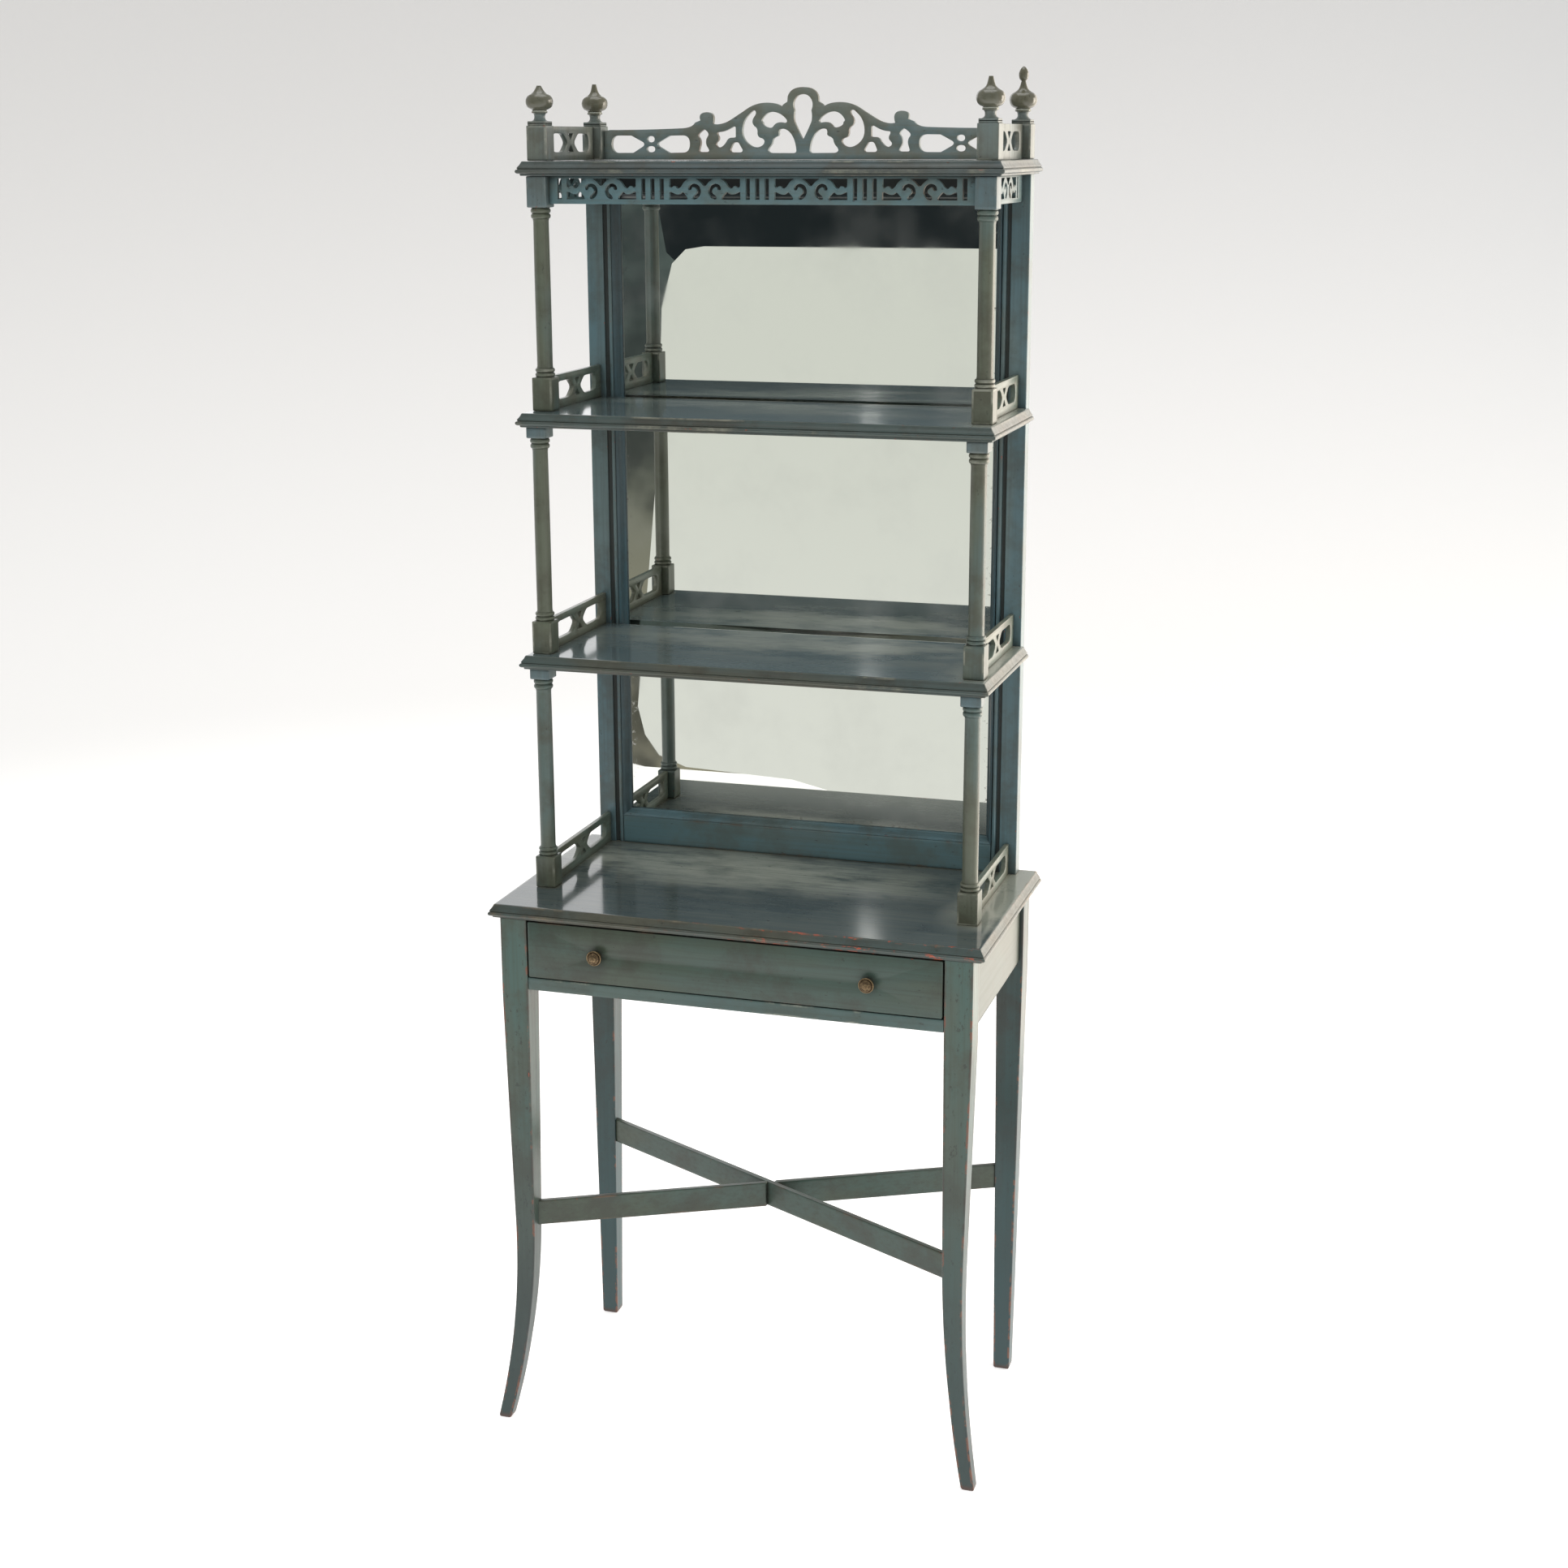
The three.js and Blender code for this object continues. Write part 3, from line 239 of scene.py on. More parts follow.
def brushed_paint(name, axis, tones, worn=0.5, rub_and_highlight="#5b4a3a", primer=0.3, shade_and_grime=0.6, shade=12.0, relief=0.25,
                  nicks_above=0.66, crown=None, top=None, haze=None, floor_shade=None, chips_to_the_right=False):
    """Old oil paint, brushed on and glazed. It gives a satin face with brush marks 4 mm wide along the axis,
    glaze in the marks, corners painted dark, grimy and in painted shade, and arrises worn to the brown and
    red below.

    tones are the body colour, the cooler one in its patches and the glaze. The wear of a point is 0 on a
    sound face, 1 on an arris, 2 where it is worn through to the pale undercoat, which is also a painted
    highlight, and -1 in a groove full of dark glaze and painted shade. worn is how far the rubbing goes and
    the next argument the colour it shows, which where it is pale also paints a highlight on the arrises;
    primer is how much red shows, and the one after it how dark a corner is painted, grimy and in painted
    shade, within the reach of shade. Flecks above nicks_above are dark nicks. The other arguments are for
    the finials, the waxed tops and their painted sheen, the legs and their painted shade near the floor, and
    the table's front edge."""
    material, add = new_material("brushed_paint_" + name)
    coat = brushed_coat(add, axis, *tones, relief)
    if crown:
        brown_the_crown(add, coat, crown)
    if top:
        wax_and_sheen_the_top(add, coat, top, haze)
    # Painted shade and grimy darkening: corners and recesses within the reach of shade are painted darker
    open_air = add(OPENNESS, {"Distance": shade * MM}).outputs["AO"]
    # Grooves, where the wear is below 0, are painted dark: dark glaze and painted shade
    groove_glaze_and_shade = add(RAMP, coat.edge, -1.0, -0.2, 0.85, 0.0)
    shaded_and_grimy = add(LARGER, add(RAMP, open_air, 0.3, 0.85, shade_and_grime, 0.0), groove_glaze_and_shade)
    coat.colour = add(BLEND, shaded_and_grimy, coat.colour, coat.shade_and_dust)
    nicks = add(RAMP, coat.fleck, nicks_above, nicks_above + 0.06, 0.0, 0.6)
    coat.colour = add(BLEND, nicks, coat.colour, linear("#23241f"))
    rub_and_light_the_arrises(add, coat, worn, rub_and_highlight, primer, chips_to_the_right)
    if floor_shade:
        shade_and_scuff_the_feet(add, coat, floor_shade)
    depth = add(MINUS, coat.brush, add(TIMES, nicks, 0.8))
    shader = add(SURFACE, {
        "Base Color": coat.colour, "Roughness": add(PLUS, coat.roughness, add(TIMES, shaded_and_grimy, 0.25)),
        "Normal": add(BUMP, {"Strength": coat.relief, "Distance": 0.4 * MM, "Height": depth}),
        "Specular IOR Level": 0.5, "Coat Weight": 0.12, "Coat Roughness": 0.3})
    add(FINISHED, {"Surface": shader})
    return material


# The tones of each paint: its body, its cooler patches and its glaze
GREEN = ("#3a4638", "#364a42", "#2d2f25")
TABLE_END_GREEN = ("#3a4638", "#37473f", "#353b30")
RAIL_GREEN = ("#465954", "#405856", "#3a443c")
FRONT_LEG_GREEN = ("#465247", "#3c5750", "#383a2d")
# Painted shade: the rear legs' green is a darker, bluer copy of the front legs'
SHADED_REAR_LEG_GREEN = ("#2b3833", "#264342", "#282b25")
SHELF_GREEN = ("#4c4d41", "#414e4b", "#322e24")
TOP_SHELF_GREEN = ("#454c48", "#3d4c4e", "#33322a")
OLIVE = ("#545a4b", "#4c5d59", "#3e3d30")
# Painted light: a paler copy of the olive, for the galleries
LIT_OLIVE = ("#6a6e5f", "#627066", "#545143")
SLATE = ("#656c64", "#5f6d6c", "#4e4c41")
CAPITAL_SLATE = ("#5a696b", "#4f656b", "#474a42")
CREST_GREY = ("#717b74", "#687a7b", "#686554")
BLUE = ("#607475", "#567279", "#4a524e")
TEAL = ("#586d6f", "#516d72", "#4e5954")
# Darker copies of the blue, painted shade beside the glass, behind the frieze and on the top rail
SHADED_SIGHT_BLUE = ("#42565c", "#3b5962", "#364140")
SHADED_UPPER_BLUE = ("#1f2829", "#1d282d", "#191d1f")
SHADED_RAIL_BLUE = ("#161b1b", "#171c1e", "#121514")

# The drawer front, back apron and stretchers are painted darker within 35 mm of the table's moulding and in
# other corners, a painted shade
green = brushed_paint("green", "x", GREEN, primer=0.12, shade_and_grime=0.9, shade=35)
# Strong light rakes the ends of the table, where the brush marks are the finest
table_end_paint = brushed_paint("green_table_ends", "y", TABLE_END_GREEN, primer=0.12, shade=30, relief=0.05)
# Pale colours for the worn arrises, here and below, also paint a highlight on them
rail_paint = brushed_paint(
    "green_front_rail", "x", RAIL_GREEN, rub_and_highlight="#868b80", primer=0.15, shade_and_grime=0.4, shade=6)
front_leg_paint = brushed_paint(
    "green_front_legs", "z", FRONT_LEG_GREEN, worn=1.2, rub_and_highlight="#3b3026", primer=0.25, nicks_above=0.61,
    floor_shade="#233536")
# The rear legs are painted darker and bluer, a painted shade for their place behind and under the table
shaded_rear_leg_paint = brushed_paint(
    "green_rear_legs_in_painted_shade", "z", SHADED_REAR_LEG_GREEN, worn=1.0, rub_and_highlight="#322b25", primer=0.2, nicks_above=0.61,
    floor_shade="#203e42")
# Each waxed top is painted pale in one cloudy patch, wax haze and a painted sheen
# The right-hand half of the table's front edge has lost the most paint
table_paint = brushed_paint(
    "green_table", "x", SHELF_GREEN, worn=0.6, rub_and_highlight="#696250", primer=1.0, top="#303e43",
    haze=(-100, 80, 1.0), chips_to_the_right=True)
shelf_paint = brushed_paint(
    "green_shelves", "x", SHELF_GREEN, worn=0.6, rub_and_highlight="#7c7c6e", primer=0.05, top="#4b5c61",
    haze=(60, 100, 0.7))
top_shelf_paint = brushed_paint(
    "green_top_shelf", "x", TOP_SHELF_GREEN, worn=0.4, rub_and_highlight="#6a6d61", primer=0.1, top="#4b5c61",
    haze=(60, 100, 0.4))
column_paint = brushed_paint(
    "olive_columns", "z", OLIVE, worn=0.7, rub_and_highlight="#87897c", primer=0.0, shade_and_grime=0.4, shade=7)
capital_paint = brushed_paint(
    "slate_capitals", "z", CAPITAL_SLATE, worn=0.6, rub_and_highlight="#8b9490", primer=0.05, shade_and_grime=0.35, shade=8)
# The galleries get a paler copy of the olive, a painted light that lifts their shaded inner faces
gallery_paint = brushed_paint(
    "olive_galleries", "y", LIT_OLIVE, worn=0.6, rub_and_highlight="#8a8c7e", primer=0.1, shade_and_grime=0.25, shade=8)
# The bulbs of the finials begin at this height
FINIAL_CROWN = 1757.0
post_paint = brushed_paint(
    "slate_posts", "z", SLATE, worn=0.6, rub_and_highlight="#8f9186", primer=0.05, shade_and_grime=0.35, shade=8, crown=FINIAL_CROWN)
crest_paint = brushed_paint("grey_crest", "x", CREST_GREY, primer=0.1, shade_and_grime=0.3)
stile_paint = brushed_paint("blue_stiles", "z", BLUE, rub_and_highlight="#59645f")
lower_sight_paint = brushed_paint("blue_lower_sight_strip", "x", BLUE, rub_and_highlight="#59645f")
teal = {axis: brushed_paint("teal_" + axis, axis, TEAL, primer=0.0) for axis in "xy"}
# The strips beside the glass get a darker copy of the blue, a painted shade
side_sight_paint = brushed_paint("blue_side_sight_strips", "z", SHADED_SIGHT_BLUE, rub_and_highlight="#506a72", primer=0.0)
# The strip behind the frieze gets a near-black copy of the blue, a painted shade under the top shelf
upper_sight_paint = brushed_paint("blue_upper_sight_strip_in_painted_shade", "x", SHADED_UPPER_BLUE, rub_and_highlight="#252d2f", primer=0.0)
# The top rail behind the frieze is painted near black too, a painted shade
shaded_rail_paint = brushed_paint("blue_top_rail_in_painted_shade", "x", SHADED_RAIL_BLUE, primer=0.0)


# Unpainted wood. Sizes of its figure, along and across the grain

FLAMES = (909.0, 111.1)
GRAIN_LINES = (333.3, 4.167)
PORES = (33.33, 1.111)
WATER_STAINS = 142.9


def sawn_softwood(name, axis, pale, dark, plank=None):
    """Softwood, sawn, unpainted and browned with age. It gives the flame figure of flat-sawn boards, with
    dark rings 4 to 15 mm apart, and water stains. The pores are drawn 1 mm wide, coarse enough to show. With
    a plank width, each plank across X has its own figure."""
    material, add = new_material("sawn_softwood_" + name)
    place = add(COORDINATES).outputs["Object"]
    if plank:
        count = add(WHOLE, add(OVER, add(PARTS, place).outputs["X"], plank * MM))
        place = add(MOVE, place, add(FROM_PARTS, {"Y": add(TIMES, count, 370 * MM)}))
    figure = add(NOISE, add(STRETCH, {"Vector": place, "Scale": marks(axis, FLAMES)}), 1.0, 1.5, 0.45)
    grain = add(NOISE, add(STRETCH, {"Vector": place, "Scale": marks(axis, GRAIN_LINES)}), 1.0, 3.0, 0.6)
    pores = add(NOISE, add(STRETCH, {"Vector": place, "Scale": marks(axis, PORES)}), 1.0, 3.0, 0.6)
    stain = add(NOISE, place, METRE / WATER_STAINS, 5.0, 0.65)
    # Eleven rings lie between the least and the most of the figure
    rings = add(BACK_AND_FORTH, add(TIMES, figure, 11.0), 0.5)
    colour = add(BLEND, add(RAMP, rings, 0.2, 0.5, 0.0, 0.75), linear(pale), linear(dark))
    colour = add(BLEND, add(RAMP, grain, 0.35, 0.75, 0.0, 0.45), colour, linear(dark))
    colour = add(BLEND, add(RAMP, pores, 0.55, 0.8, 0.0, 0.4), colour, linear("#3d2b1b"))
    colour = add(BLEND, add(RAMP, stain, 0.45, 0.75, 0.0, 0.6), colour, linear("#4a3a29"))
    shader = add(SURFACE, {
        "Base Color": colour, "Roughness": add(RAMP, grain, 0.3, 0.8, 0.6, 0.8), "Specular IOR Level": 0.35,
        "Normal": add(BUMP, {"Strength": 0.12, "Distance": 0.3 * MM, "Height": grain})})
    add(FINISHED, {"Surface": shader})
    return material


wood = {axis: sawn_softwood(axis, axis, "#8b6f4f", "#6d5238") for axis in "xy"}


# Brass and mirror glass

TARNISH_SPOTS = 2.381
FOXING_SPOTS = 6.667
WIPING_SMEARS = 111.1


def turned_brass():
    """Turned brass, handled for a century. It gives brown tarnish in the hollows and bare metal on the rings,
    and the tarnish's spots are drawn 2 mm apart, coarse enough to show."""
    material, add = new_material("turned_brass")
    place = add(COORDINATES).outputs["Object"]
    tarnish = add(NOISE, place, METRE / TARNISH_SPOTS, 4.0, 0.6)
    handled = add(TIMES, add(WEAR_AND_PAINTED_LIGHT).outputs["Fac"], 0.55)
    dull = add(MINUS, add(RAMP, tarnish, 0.3, 0.6, 0.35, 1.0), handled)
    shader = add(SURFACE, {
        "Base Color": add(BLEND, dull, linear("#8f7a5c"), linear("#4c3e2f")), "Metallic": 0.85,
        "Roughness": add(RAMP, dull, 0.0, 1.0, 0.28, 0.55),
        "Normal": add(BUMP, {"Strength": 0.2, "Distance": 0.2 * MM, "Height": tarnish})})
    add(FINISHED, {"Surface": shader})
    return material


def silvered_glass(lo, hi):
    """Silvered plate glass between two corners in metres, a little green-grey. It gives a clear reflection
    under a haze from wiping, with brown spots where damp got in at its rim."""
    material, add = new_material("silvered_glass")
    place = add(COORDINATES).outputs["Object"]
    x, _, z = add(PARTS, place).outputs
    from_side = add(MINUS, (hi.x - lo.x) / 2, add(UNSIGNED, x))
    from_end = add(MINUS, (hi.z - lo.z) / 2, add(UNSIGNED, add(MINUS, z, (hi.z + lo.z) / 2)))
    rim = add(RAMP, add(SMALLER, from_side, from_end), 8 * MM, 22 * MM, 1.0, 0.0)
    spots = add(NOISE, place, METRE / FOXING_SPOTS, 4.0, 0.7)
    foxing = add(TIMES, add(RAMP, spots, 0.56, 0.72, 0.0, 0.7), rim)
    smear = add(NOISE, place, METRE / WIPING_SMEARS, 3.0, 0.6)
    smeared = add(RAMP, smear, 0.4, 0.8, 0.0, 0.03)
    shader = add(SURFACE, {
        "Base Color": add(BLEND, foxing, linear("#e8e9e4"), linear("#5a4c3c")),
        "Metallic": add(RAMP, smear, 0.42, 0.75, 1.0, 0.88),
        "Roughness": add(PLUS, smeared, add(TIMES, foxing, 0.4))})
    add(FINISHED, {"Surface": shader})
    return material


brass = turned_brass()


# Shapes, in millimetres

# How far a sanded arris is rounded off, and how wide the worn strip beside it is
EASE = 0.8
WORN_STRIP = 2.6


class Shape:
    """Points and faces, how worn each point is, and the faces that are plain, which show no wear at all."""

    def __init__(self):
        self.points = []
        self.faces = []
        self.wear = []
        self.plain = set()

    def add(self, point, wear=0.0):
        """Adds a point and gives its index."""
        self.points.append(point)
        self.wear.append(wear)
        return len(self.points) - 1

    def ring(self, points, wears):
        """Adds points and gives their indices."""
        return [self.add(p, w) for p, w in zip(points, wears)]

    def bridge(self, lower, upper):
        """Quads between two rings, outward where both run counterclockwise seen from the upper one."""
        for i, a in enumerate(lower):
            j = (i + 1) % len(lower)
            self.faces.append((a, lower[j], upper[j], upper[i]))

    def loft(self, rings):
        """A skin over rings from the lowest to the highest, closed at both ends."""
        for lower, upper in zip(rings, rings[1:]):
            self.bridge(lower, upper)
        self.faces.append(tuple(reversed(rings[0])))
        self.faces.append(tuple(rings[-1]))


def finish_piece(name, shape, material, nodes, body="frame", sharp=50.0):
    """Makes the mesh, with its wear on each face corner, and puts it in its nodes' place. Edges that turn by
    more degrees than sharp stay sharp."""
    mesh = bpy.data.meshes.new(name)
    mesh.from_pydata([[c * MM for c in p] for p in shape.points], [], shape.faces)
    # Wear above 1.3 also stands for a painted highlight, and wear below 0 for painted shade in a groove
    layer = mesh.attributes.new("wear", "FLOAT", "CORNER")
    for polygon in mesh.polygons:
        for loop in polygon.loop_indices:
            vertex = mesh.loops[loop].vertex_index
            layer.data[loop].value = 0.0 if polygon.index in shape.plain else shape.wear[vertex]
    mesh.shade_smooth()
    mesh.set_sharp_from_angle(angle=math.radians(sharp))
    mesh.materials.append(material)
    piece = bpy.data.objects.new(name, mesh)
    bpy.context.scene.collection.objects.link(piece)
    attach(piece, body)
    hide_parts(*nodes)


def box_mm(node):
    """The lower and upper corner of a CAD node."""
    lo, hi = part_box(node)
    return [c / MM for c in lo], [c / MM for c in hi]


def rounded_corner(cx, cy, radius, start, steps=3):
    """Points of a quarter circle, counterclockwise from the start angle in degrees."""
    angles = [math.radians(start + 90 * i / steps) for i in range(steps + 1)]
    return [(cx + radius * math.cos(a), cy + radius * math.sin(a)) for a in angles]


def rectangle(x0, x1, y0, y1):
    """Four corners, counterclockwise."""
    return [(x0, y0), (x1, y0), (x1, y1), (x0, y1)]


def soft_rectangle(x0, x1, y0, y1, radius, strip=WORN_STRIP, steps=2):
    """A rectangle with worn round corners, counterclockwise, and an unworn point on either side of each."""
    points, wears = [], []
    reach = min(radius + strip, 0.45 * (x1 - x0), 0.45 * (y1 - y0))
    corners = [(x1, y0, 270), (x1, y1, 0), (x0, y1, 90), (x0, y0, 180)]
    for x, y, start in corners:
        sx, sy = (1 if x == x1 else -1), (1 if y == y1 else -1)
        arc = rounded_corner(x - sx * radius, y - sy * radius, radius, start, steps)
        if start in (270, 90):
            before, after = (x - sx * reach, y), (x, y - sy * reach)
        else:
            before, after = (x, y - sy * reach), (x - sx * reach, y)
        points += [before, *arc, after]
        wears += [0.0, *[1.0] * len(arc), 0.0]
    return points, wears


def mean_width(face):
    """Twice the area over the outline's length."""
    return 2 * face.calc_area() / sum(edge.calc_length() for edge in face.edges)


def eased_solid(outline, z0, z1, ease=EASE):
    """A prism over a counterclockwise outline, with rounded arrises and an unworn middle to each face."""
    bm = bmesh.new()
    low = [bm.verts.new((x, y, z0)) for x, y in outline]
    high = [bm.verts.new((x, y, z1)) for x, y in outline]
    bm.faces.new(list(reversed(low)))
    bm.faces.new(high)
    for i in range(len(outline)):
        j = (i + 1) % len(outline)
        bm.faces.new((low[i], low[j], high[j], high[i]))
    bmesh.ops.bevel(bm, geom=bm.edges[:], offset=ease, segments=2, profile=0.5, affect="EDGES")
    # The rounded arrises themselves are narrower than this
    broad = [face for face in bm.faces if mean_width(face) > 1.3 * ease]
    for face in broad:
        strip = min(WORN_STRIP, 0.25 * mean_width(face))
        bmesh.ops.inset_individual(bm, faces=[face], thickness=strip, use_even_offset=True)
    unworn = {vertex for face in broad for vertex in face.verts}
    shape = Shape()
    # The bevel makes them in an order that changes from run to run, so they are put in one of their own
    vertices = sorted(bm.verts, key=lambda vertex: [round(c, 3) for c in vertex.co])
    index = {vertex: shape.add(tuple(vertex.co), 0.0 if vertex in unworn else 1.0) for vertex in vertices}
    shape.faces = sorted(tuple(index[v] for v in f.verts) for f in bm.faces)
    bm.free()
    return shape


def board(node, material, ease=EASE, body="frame"):
    """A flat board with eased arrises in a node's own box."""
    lo, hi = box_mm(node)
    shape = eased_solid(rectangle(lo[0], hi[0], lo[1], hi[1]), lo[2], hi[2], ease)
    finish_piece(node + "_board", shape, material, [node], body)


def turn(shape, profile, place, sides):
    """Spins (radius, height, wear) points round the axis of a lathe. place turns two directions across that
    axis and the height along it into x, y and z."""
    angles = [2 * math.pi * i / sides for i in range(sides)]
    rings = []
    for radius, height, wear in profile:
        ring = [place(radius * math.cos(a), radius * math.sin(a), height) for a in angles]
        rings.append(shape.ring(ring, [wear] * sides))
    shape.loft(rings)


def square_block(shape, cx, cy, half, z0, z1, ease=0.9):
    """An upright square block with rounded arrises and worn edges."""
    strip = ease + WORN_STRIP
    # Height, inset, and the least wear of the sides and of the corners
    levels = [(z0, ease, 1, 1), (z0 + ease, 0, 1, 1), (z0 + strip, 0, 0, 1), (z1 - strip, 0, 0, 1),
              (z1 - ease, 0, 1, 1), (z1 - 0.3 * ease, 0.3 * ease, 1, 1), (z1, ease, 1, 1), (z1, strip, 0, 0)]
    rings = []
    for z, inset, side_wear, corner_wear in levels:
        edge = half - inset
        points, wears = soft_rectangle(cx - edge, cx + edge, cy - edge, cy + edge, 1.0)
        wears = [max(side_wear, corner_wear * wear) for wear in wears]
        rings.append(shape.ring([(x, y, z) for x, y in points], wears))
    shape.loft(rings)


def curve_points(strokes, width, height, steps=8):
    """The points of strokes given as shares: [x, z] is a line to a point, [cx, cz, x, z] a curve to it."""
    points = [(strokes[0][0] * width, strokes[0][1] * height)]
    for stroke in strokes[1:]:
        sized = [share * (width if k % 2 == 0 else height) for k, share in enumerate(stroke)]
        if len(sized) == 2:
            points.append(tuple(sized))
            continue
        (x0, z0), (cx, cz, x1, z1) = points[-1], sized
        for i in range(1, steps + 1):
            t = i / steps
            a, b, c = (1 - t) ** 2, 2 * t * (1 - t), t * t
            points.append((a * x0 + b * cx + c * x1, a * z0 + b * cz + c * z1))
    return points


def mirrored(points, axis=0.0):
    """The points mirrored left to right, in the order that goes on round the outline."""
    return [(2 * axis - x, z) for x, z in reversed(points)]


def shifted(points, dx, dz):
    """The points moved along and up."""
    return [(x + dx, z + dz) for x, z in points]


def rounded_polygon(corners, radius, steps=6):
    """A polygon whose corners are curves that begin at the radius from them."""
    points = []
    for i, (x, z) in enumerate(corners):
        before, after = Vector(corners[i - 1]), Vector(corners[(i + 1) % len(corners)])
        here = Vector((x, z))
        first = here.lerp(before, min(0.5, radius / (here - before).length))
        last = here.lerp(after, min(0.5, radius / (here - after).length))
        for k in range(steps + 1):
            t = k / steps
            points.append(tuple((1 - t) ** 2 * first + 2 * t * (1 - t) * here + t * t * last))
    return points


def tidy_loop(points, counterclockwise):
    """The loop without repeated points, running the way asked for."""
    closest = 0.04
    loop = [p for i, p in enumerate(points) if math.dist(p, points[i - 1]) > closest]
    area = sum(a[0] * b[1] - b[0] * a[1] for a, b in zip(loop, loop[1:] + loop[:1]))
    return loop if (area > 0) == counterclockwise else loop[::-1]


def moved_in(loop, distance):
    """The loop moved towards the material, which lies on the left of its direction."""
    made = []
    for i, here in enumerate(loop):
        a = (Vector(here) - Vector(loop[i - 1])).normalized()
        b = (Vector(loop[(i + 1) % len(loop)]) - Vector(here)).normalized()
        side = Vector((-a.y, a.x)) + Vector((-b.y, b.x))
        side = side.normalized() if side.length > 1e-6 else Vector((-a.y, a.x))
        share = max(0.5, side.dot(Vector((-a.y, a.x))))
        made.append(tuple(Vector(here) + side * distance / share))
    return made


def encloses(ends, point):
    """True if a point lies in the material: a line from it crosses the edges an odd number of times."""
    x0, y0, x1, y1 = ends.T
    level = (y0 > point.y) != (y1 > point.y)
    with np.errstate(divide="ignore", invalid="ignore"):
        crossing = x0 + (point.y - y0) * (x1 - x0) / (y1 - y0)
    return bool(np.count_nonzero(level & (crossing > point.x)) % 2)


def directions_are_right_handed(place):
    """True if along, up and out, in that order, make a right-handed frame."""
    steps = ((1, 0, 0), (0, 1, 0), (0, 0, 1))
    along, up, out = (Vector(place(*step)) - Vector(place(0, 0, 0)) for step in steps)
    return along.cross(up).dot(out) > 0


def fretted_shape(outline, openings, thickness, place, ease=0.55):
    """A pierced board. place turns (along, up, out) into x, y and z, where out runs from the rear face."""
    shape = Shape()
    loops = [tidy_loop(outline, True), *[tidy_loop(o, False) for o in openings]]
    inset = [moved_in(loop, ease) for loop in loops]
    soft = [moved_in(loop, 0.3 * ease) for loop in loops]
    levels = [(inset, 0.0, 0.6), (soft, 0.3 * ease, 0.6), (loops, ease, 0.6), (loops, thickness - ease, 1.0),
              (soft, thickness - 0.3 * ease, 1.0), (inset, thickness, 1.0)]
    stacks = []
    for rings, out, wear in levels:
        stacks.append([shape.ring([place(u, v, out) for u, v in ring], [wear] * len(ring)) for ring in rings])
    for lower, upper in zip(stacks, stacks[1:]):
        for low, high in zip(lower, upper):
            shape.bridge(low, high)
    sides, shape.faces = shape.faces, []
    flat = [Vector(p) for ring in inset for p in ring]
    edges, start = [], 0
    for ring in inset:
        edges += [(start + i, start + (i + 1) % len(ring)) for i in range(len(ring))]
        start += len(ring)
    corners, _, triangles, origins, _, _ = delaunay_2d_cdt(flat, edges, [], 1, 1e-5)
    order = {new: old[0] for new, old in enumerate(origins) if old}
    ends = np.array([(*flat[a], *flat[b]) for a, b in edges])
    rear = [i for ring in stacks[0] for i in ring]
    front = [i for ring in stacks[-1] for i in ring]
    ahead = directions_are_right_handed(place)
    for triangle in triangles:
        middle = sum((corners[v] for v in triangle), Vector((0, 0))) / 3
        if not all(v in order for v in triangle) or not encloses(ends, middle):
            continue
        ids = [order[v] for v in triangle]
        shape.plain.add(len(shape.faces))
        shape.faces.append(tuple(front[i] for i in (ids if ahead else ids[::-1])))
        shape.plain.add(len(shape.faces))
        shape.faces.append(tuple(rear[i] for i in (ids[::-1] if ahead else ids)))
    shape.faces += [s if ahead else tuple(reversed(s)) for s in sides]
    return shape


# Table top and shelves

BOARD_THICKNESS = 18.0
EDGE_REACH = 7.0


def edge_profile():
    """The moulded edge from the underside up to the upper arris: a bead, a quirk, a hollow and a fillet, as
    (out, down, wear) points."""
    bead_out, bead_down, bead_radius = 4.3, 12.5, 2.7
    # A wear of -1 paints a groove dark, glaze and painted shade; a wear above 1.3 paints a pale line on the
    # bead and the arris, worn undercoat and a painted highlight
    profile = [(1.2, BOARD_THICKNESS, 0.6), (2.0, 17.2, 0.6), (2.0, 15.7, -0.8)]
    for i in range(9):
        angle = math.radians(-90 + 180 * i / 8)
        out, down = bead_out + bead_radius * math.cos(angle), bead_down - bead_radius * math.sin(angle)
        profile.append((out, down, 1.45 * max(0.0, math.cos(angle)) ** 2))
    profile += [(4.4, 9.2, -1.0), (5.1, 8.7, 0.3), (4.7, 7.6, 0.1), (3.5, 6.0, 0.0), (2.2, 4.4, 0.0),
                (1.2, 2.6, 0.1), (0.5, 1.2, 0.8), (0.1, 0.4, 1.5), (-0.6, 0.0, 1.0), (-3.4, 0.0, 0.0)]
    return profile


def moulded_board(node, name, paint):
    """A top or shelf whose front and ends carry the moulded edge. Its back is straight."""
    lo, hi = box_mm(node)
    shape = Shape()
    rings = []
    underside = [(-6.0, BOARD_THICKNESS, 0.0)]
    for out, down, wear in underside + edge_profile():
        inset = EDGE_REACH - out
        y1 = hi[1] - max(0.0, -out)
        corner_radius = 1.1 + 0.1 * max(0.0, out)
        points, wears = soft_rectangle(lo[0] + inset, hi[0] - inset, lo[1] + inset, y1, corner_radius, 3.0, 3)
        corner_wear = 0.8 if wear > 0.3 else 0.35
        wears = [max(wear, corner_wear * w) if out > -3 else 0.0 for w in wears]
        rings.append(shape.ring([(x, y, hi[2] - down) for x, y in points], wears))
    shape.loft(rings)
    finish_piece(name, shape, paint, [node], sharp=60)


moulded_board("table_top", "table_top_board", table_paint)
moulded_board("shelf_lower", "lower_shelf_board", shelf_paint)
moulded_board("shelf_upper", "upper_shelf_board", shelf_paint)
moulded_board("shelf_top", "top_shelf_board", top_shelf_paint)


# Legs, aprons and stretchers

LEG_WIDTH = 37.0
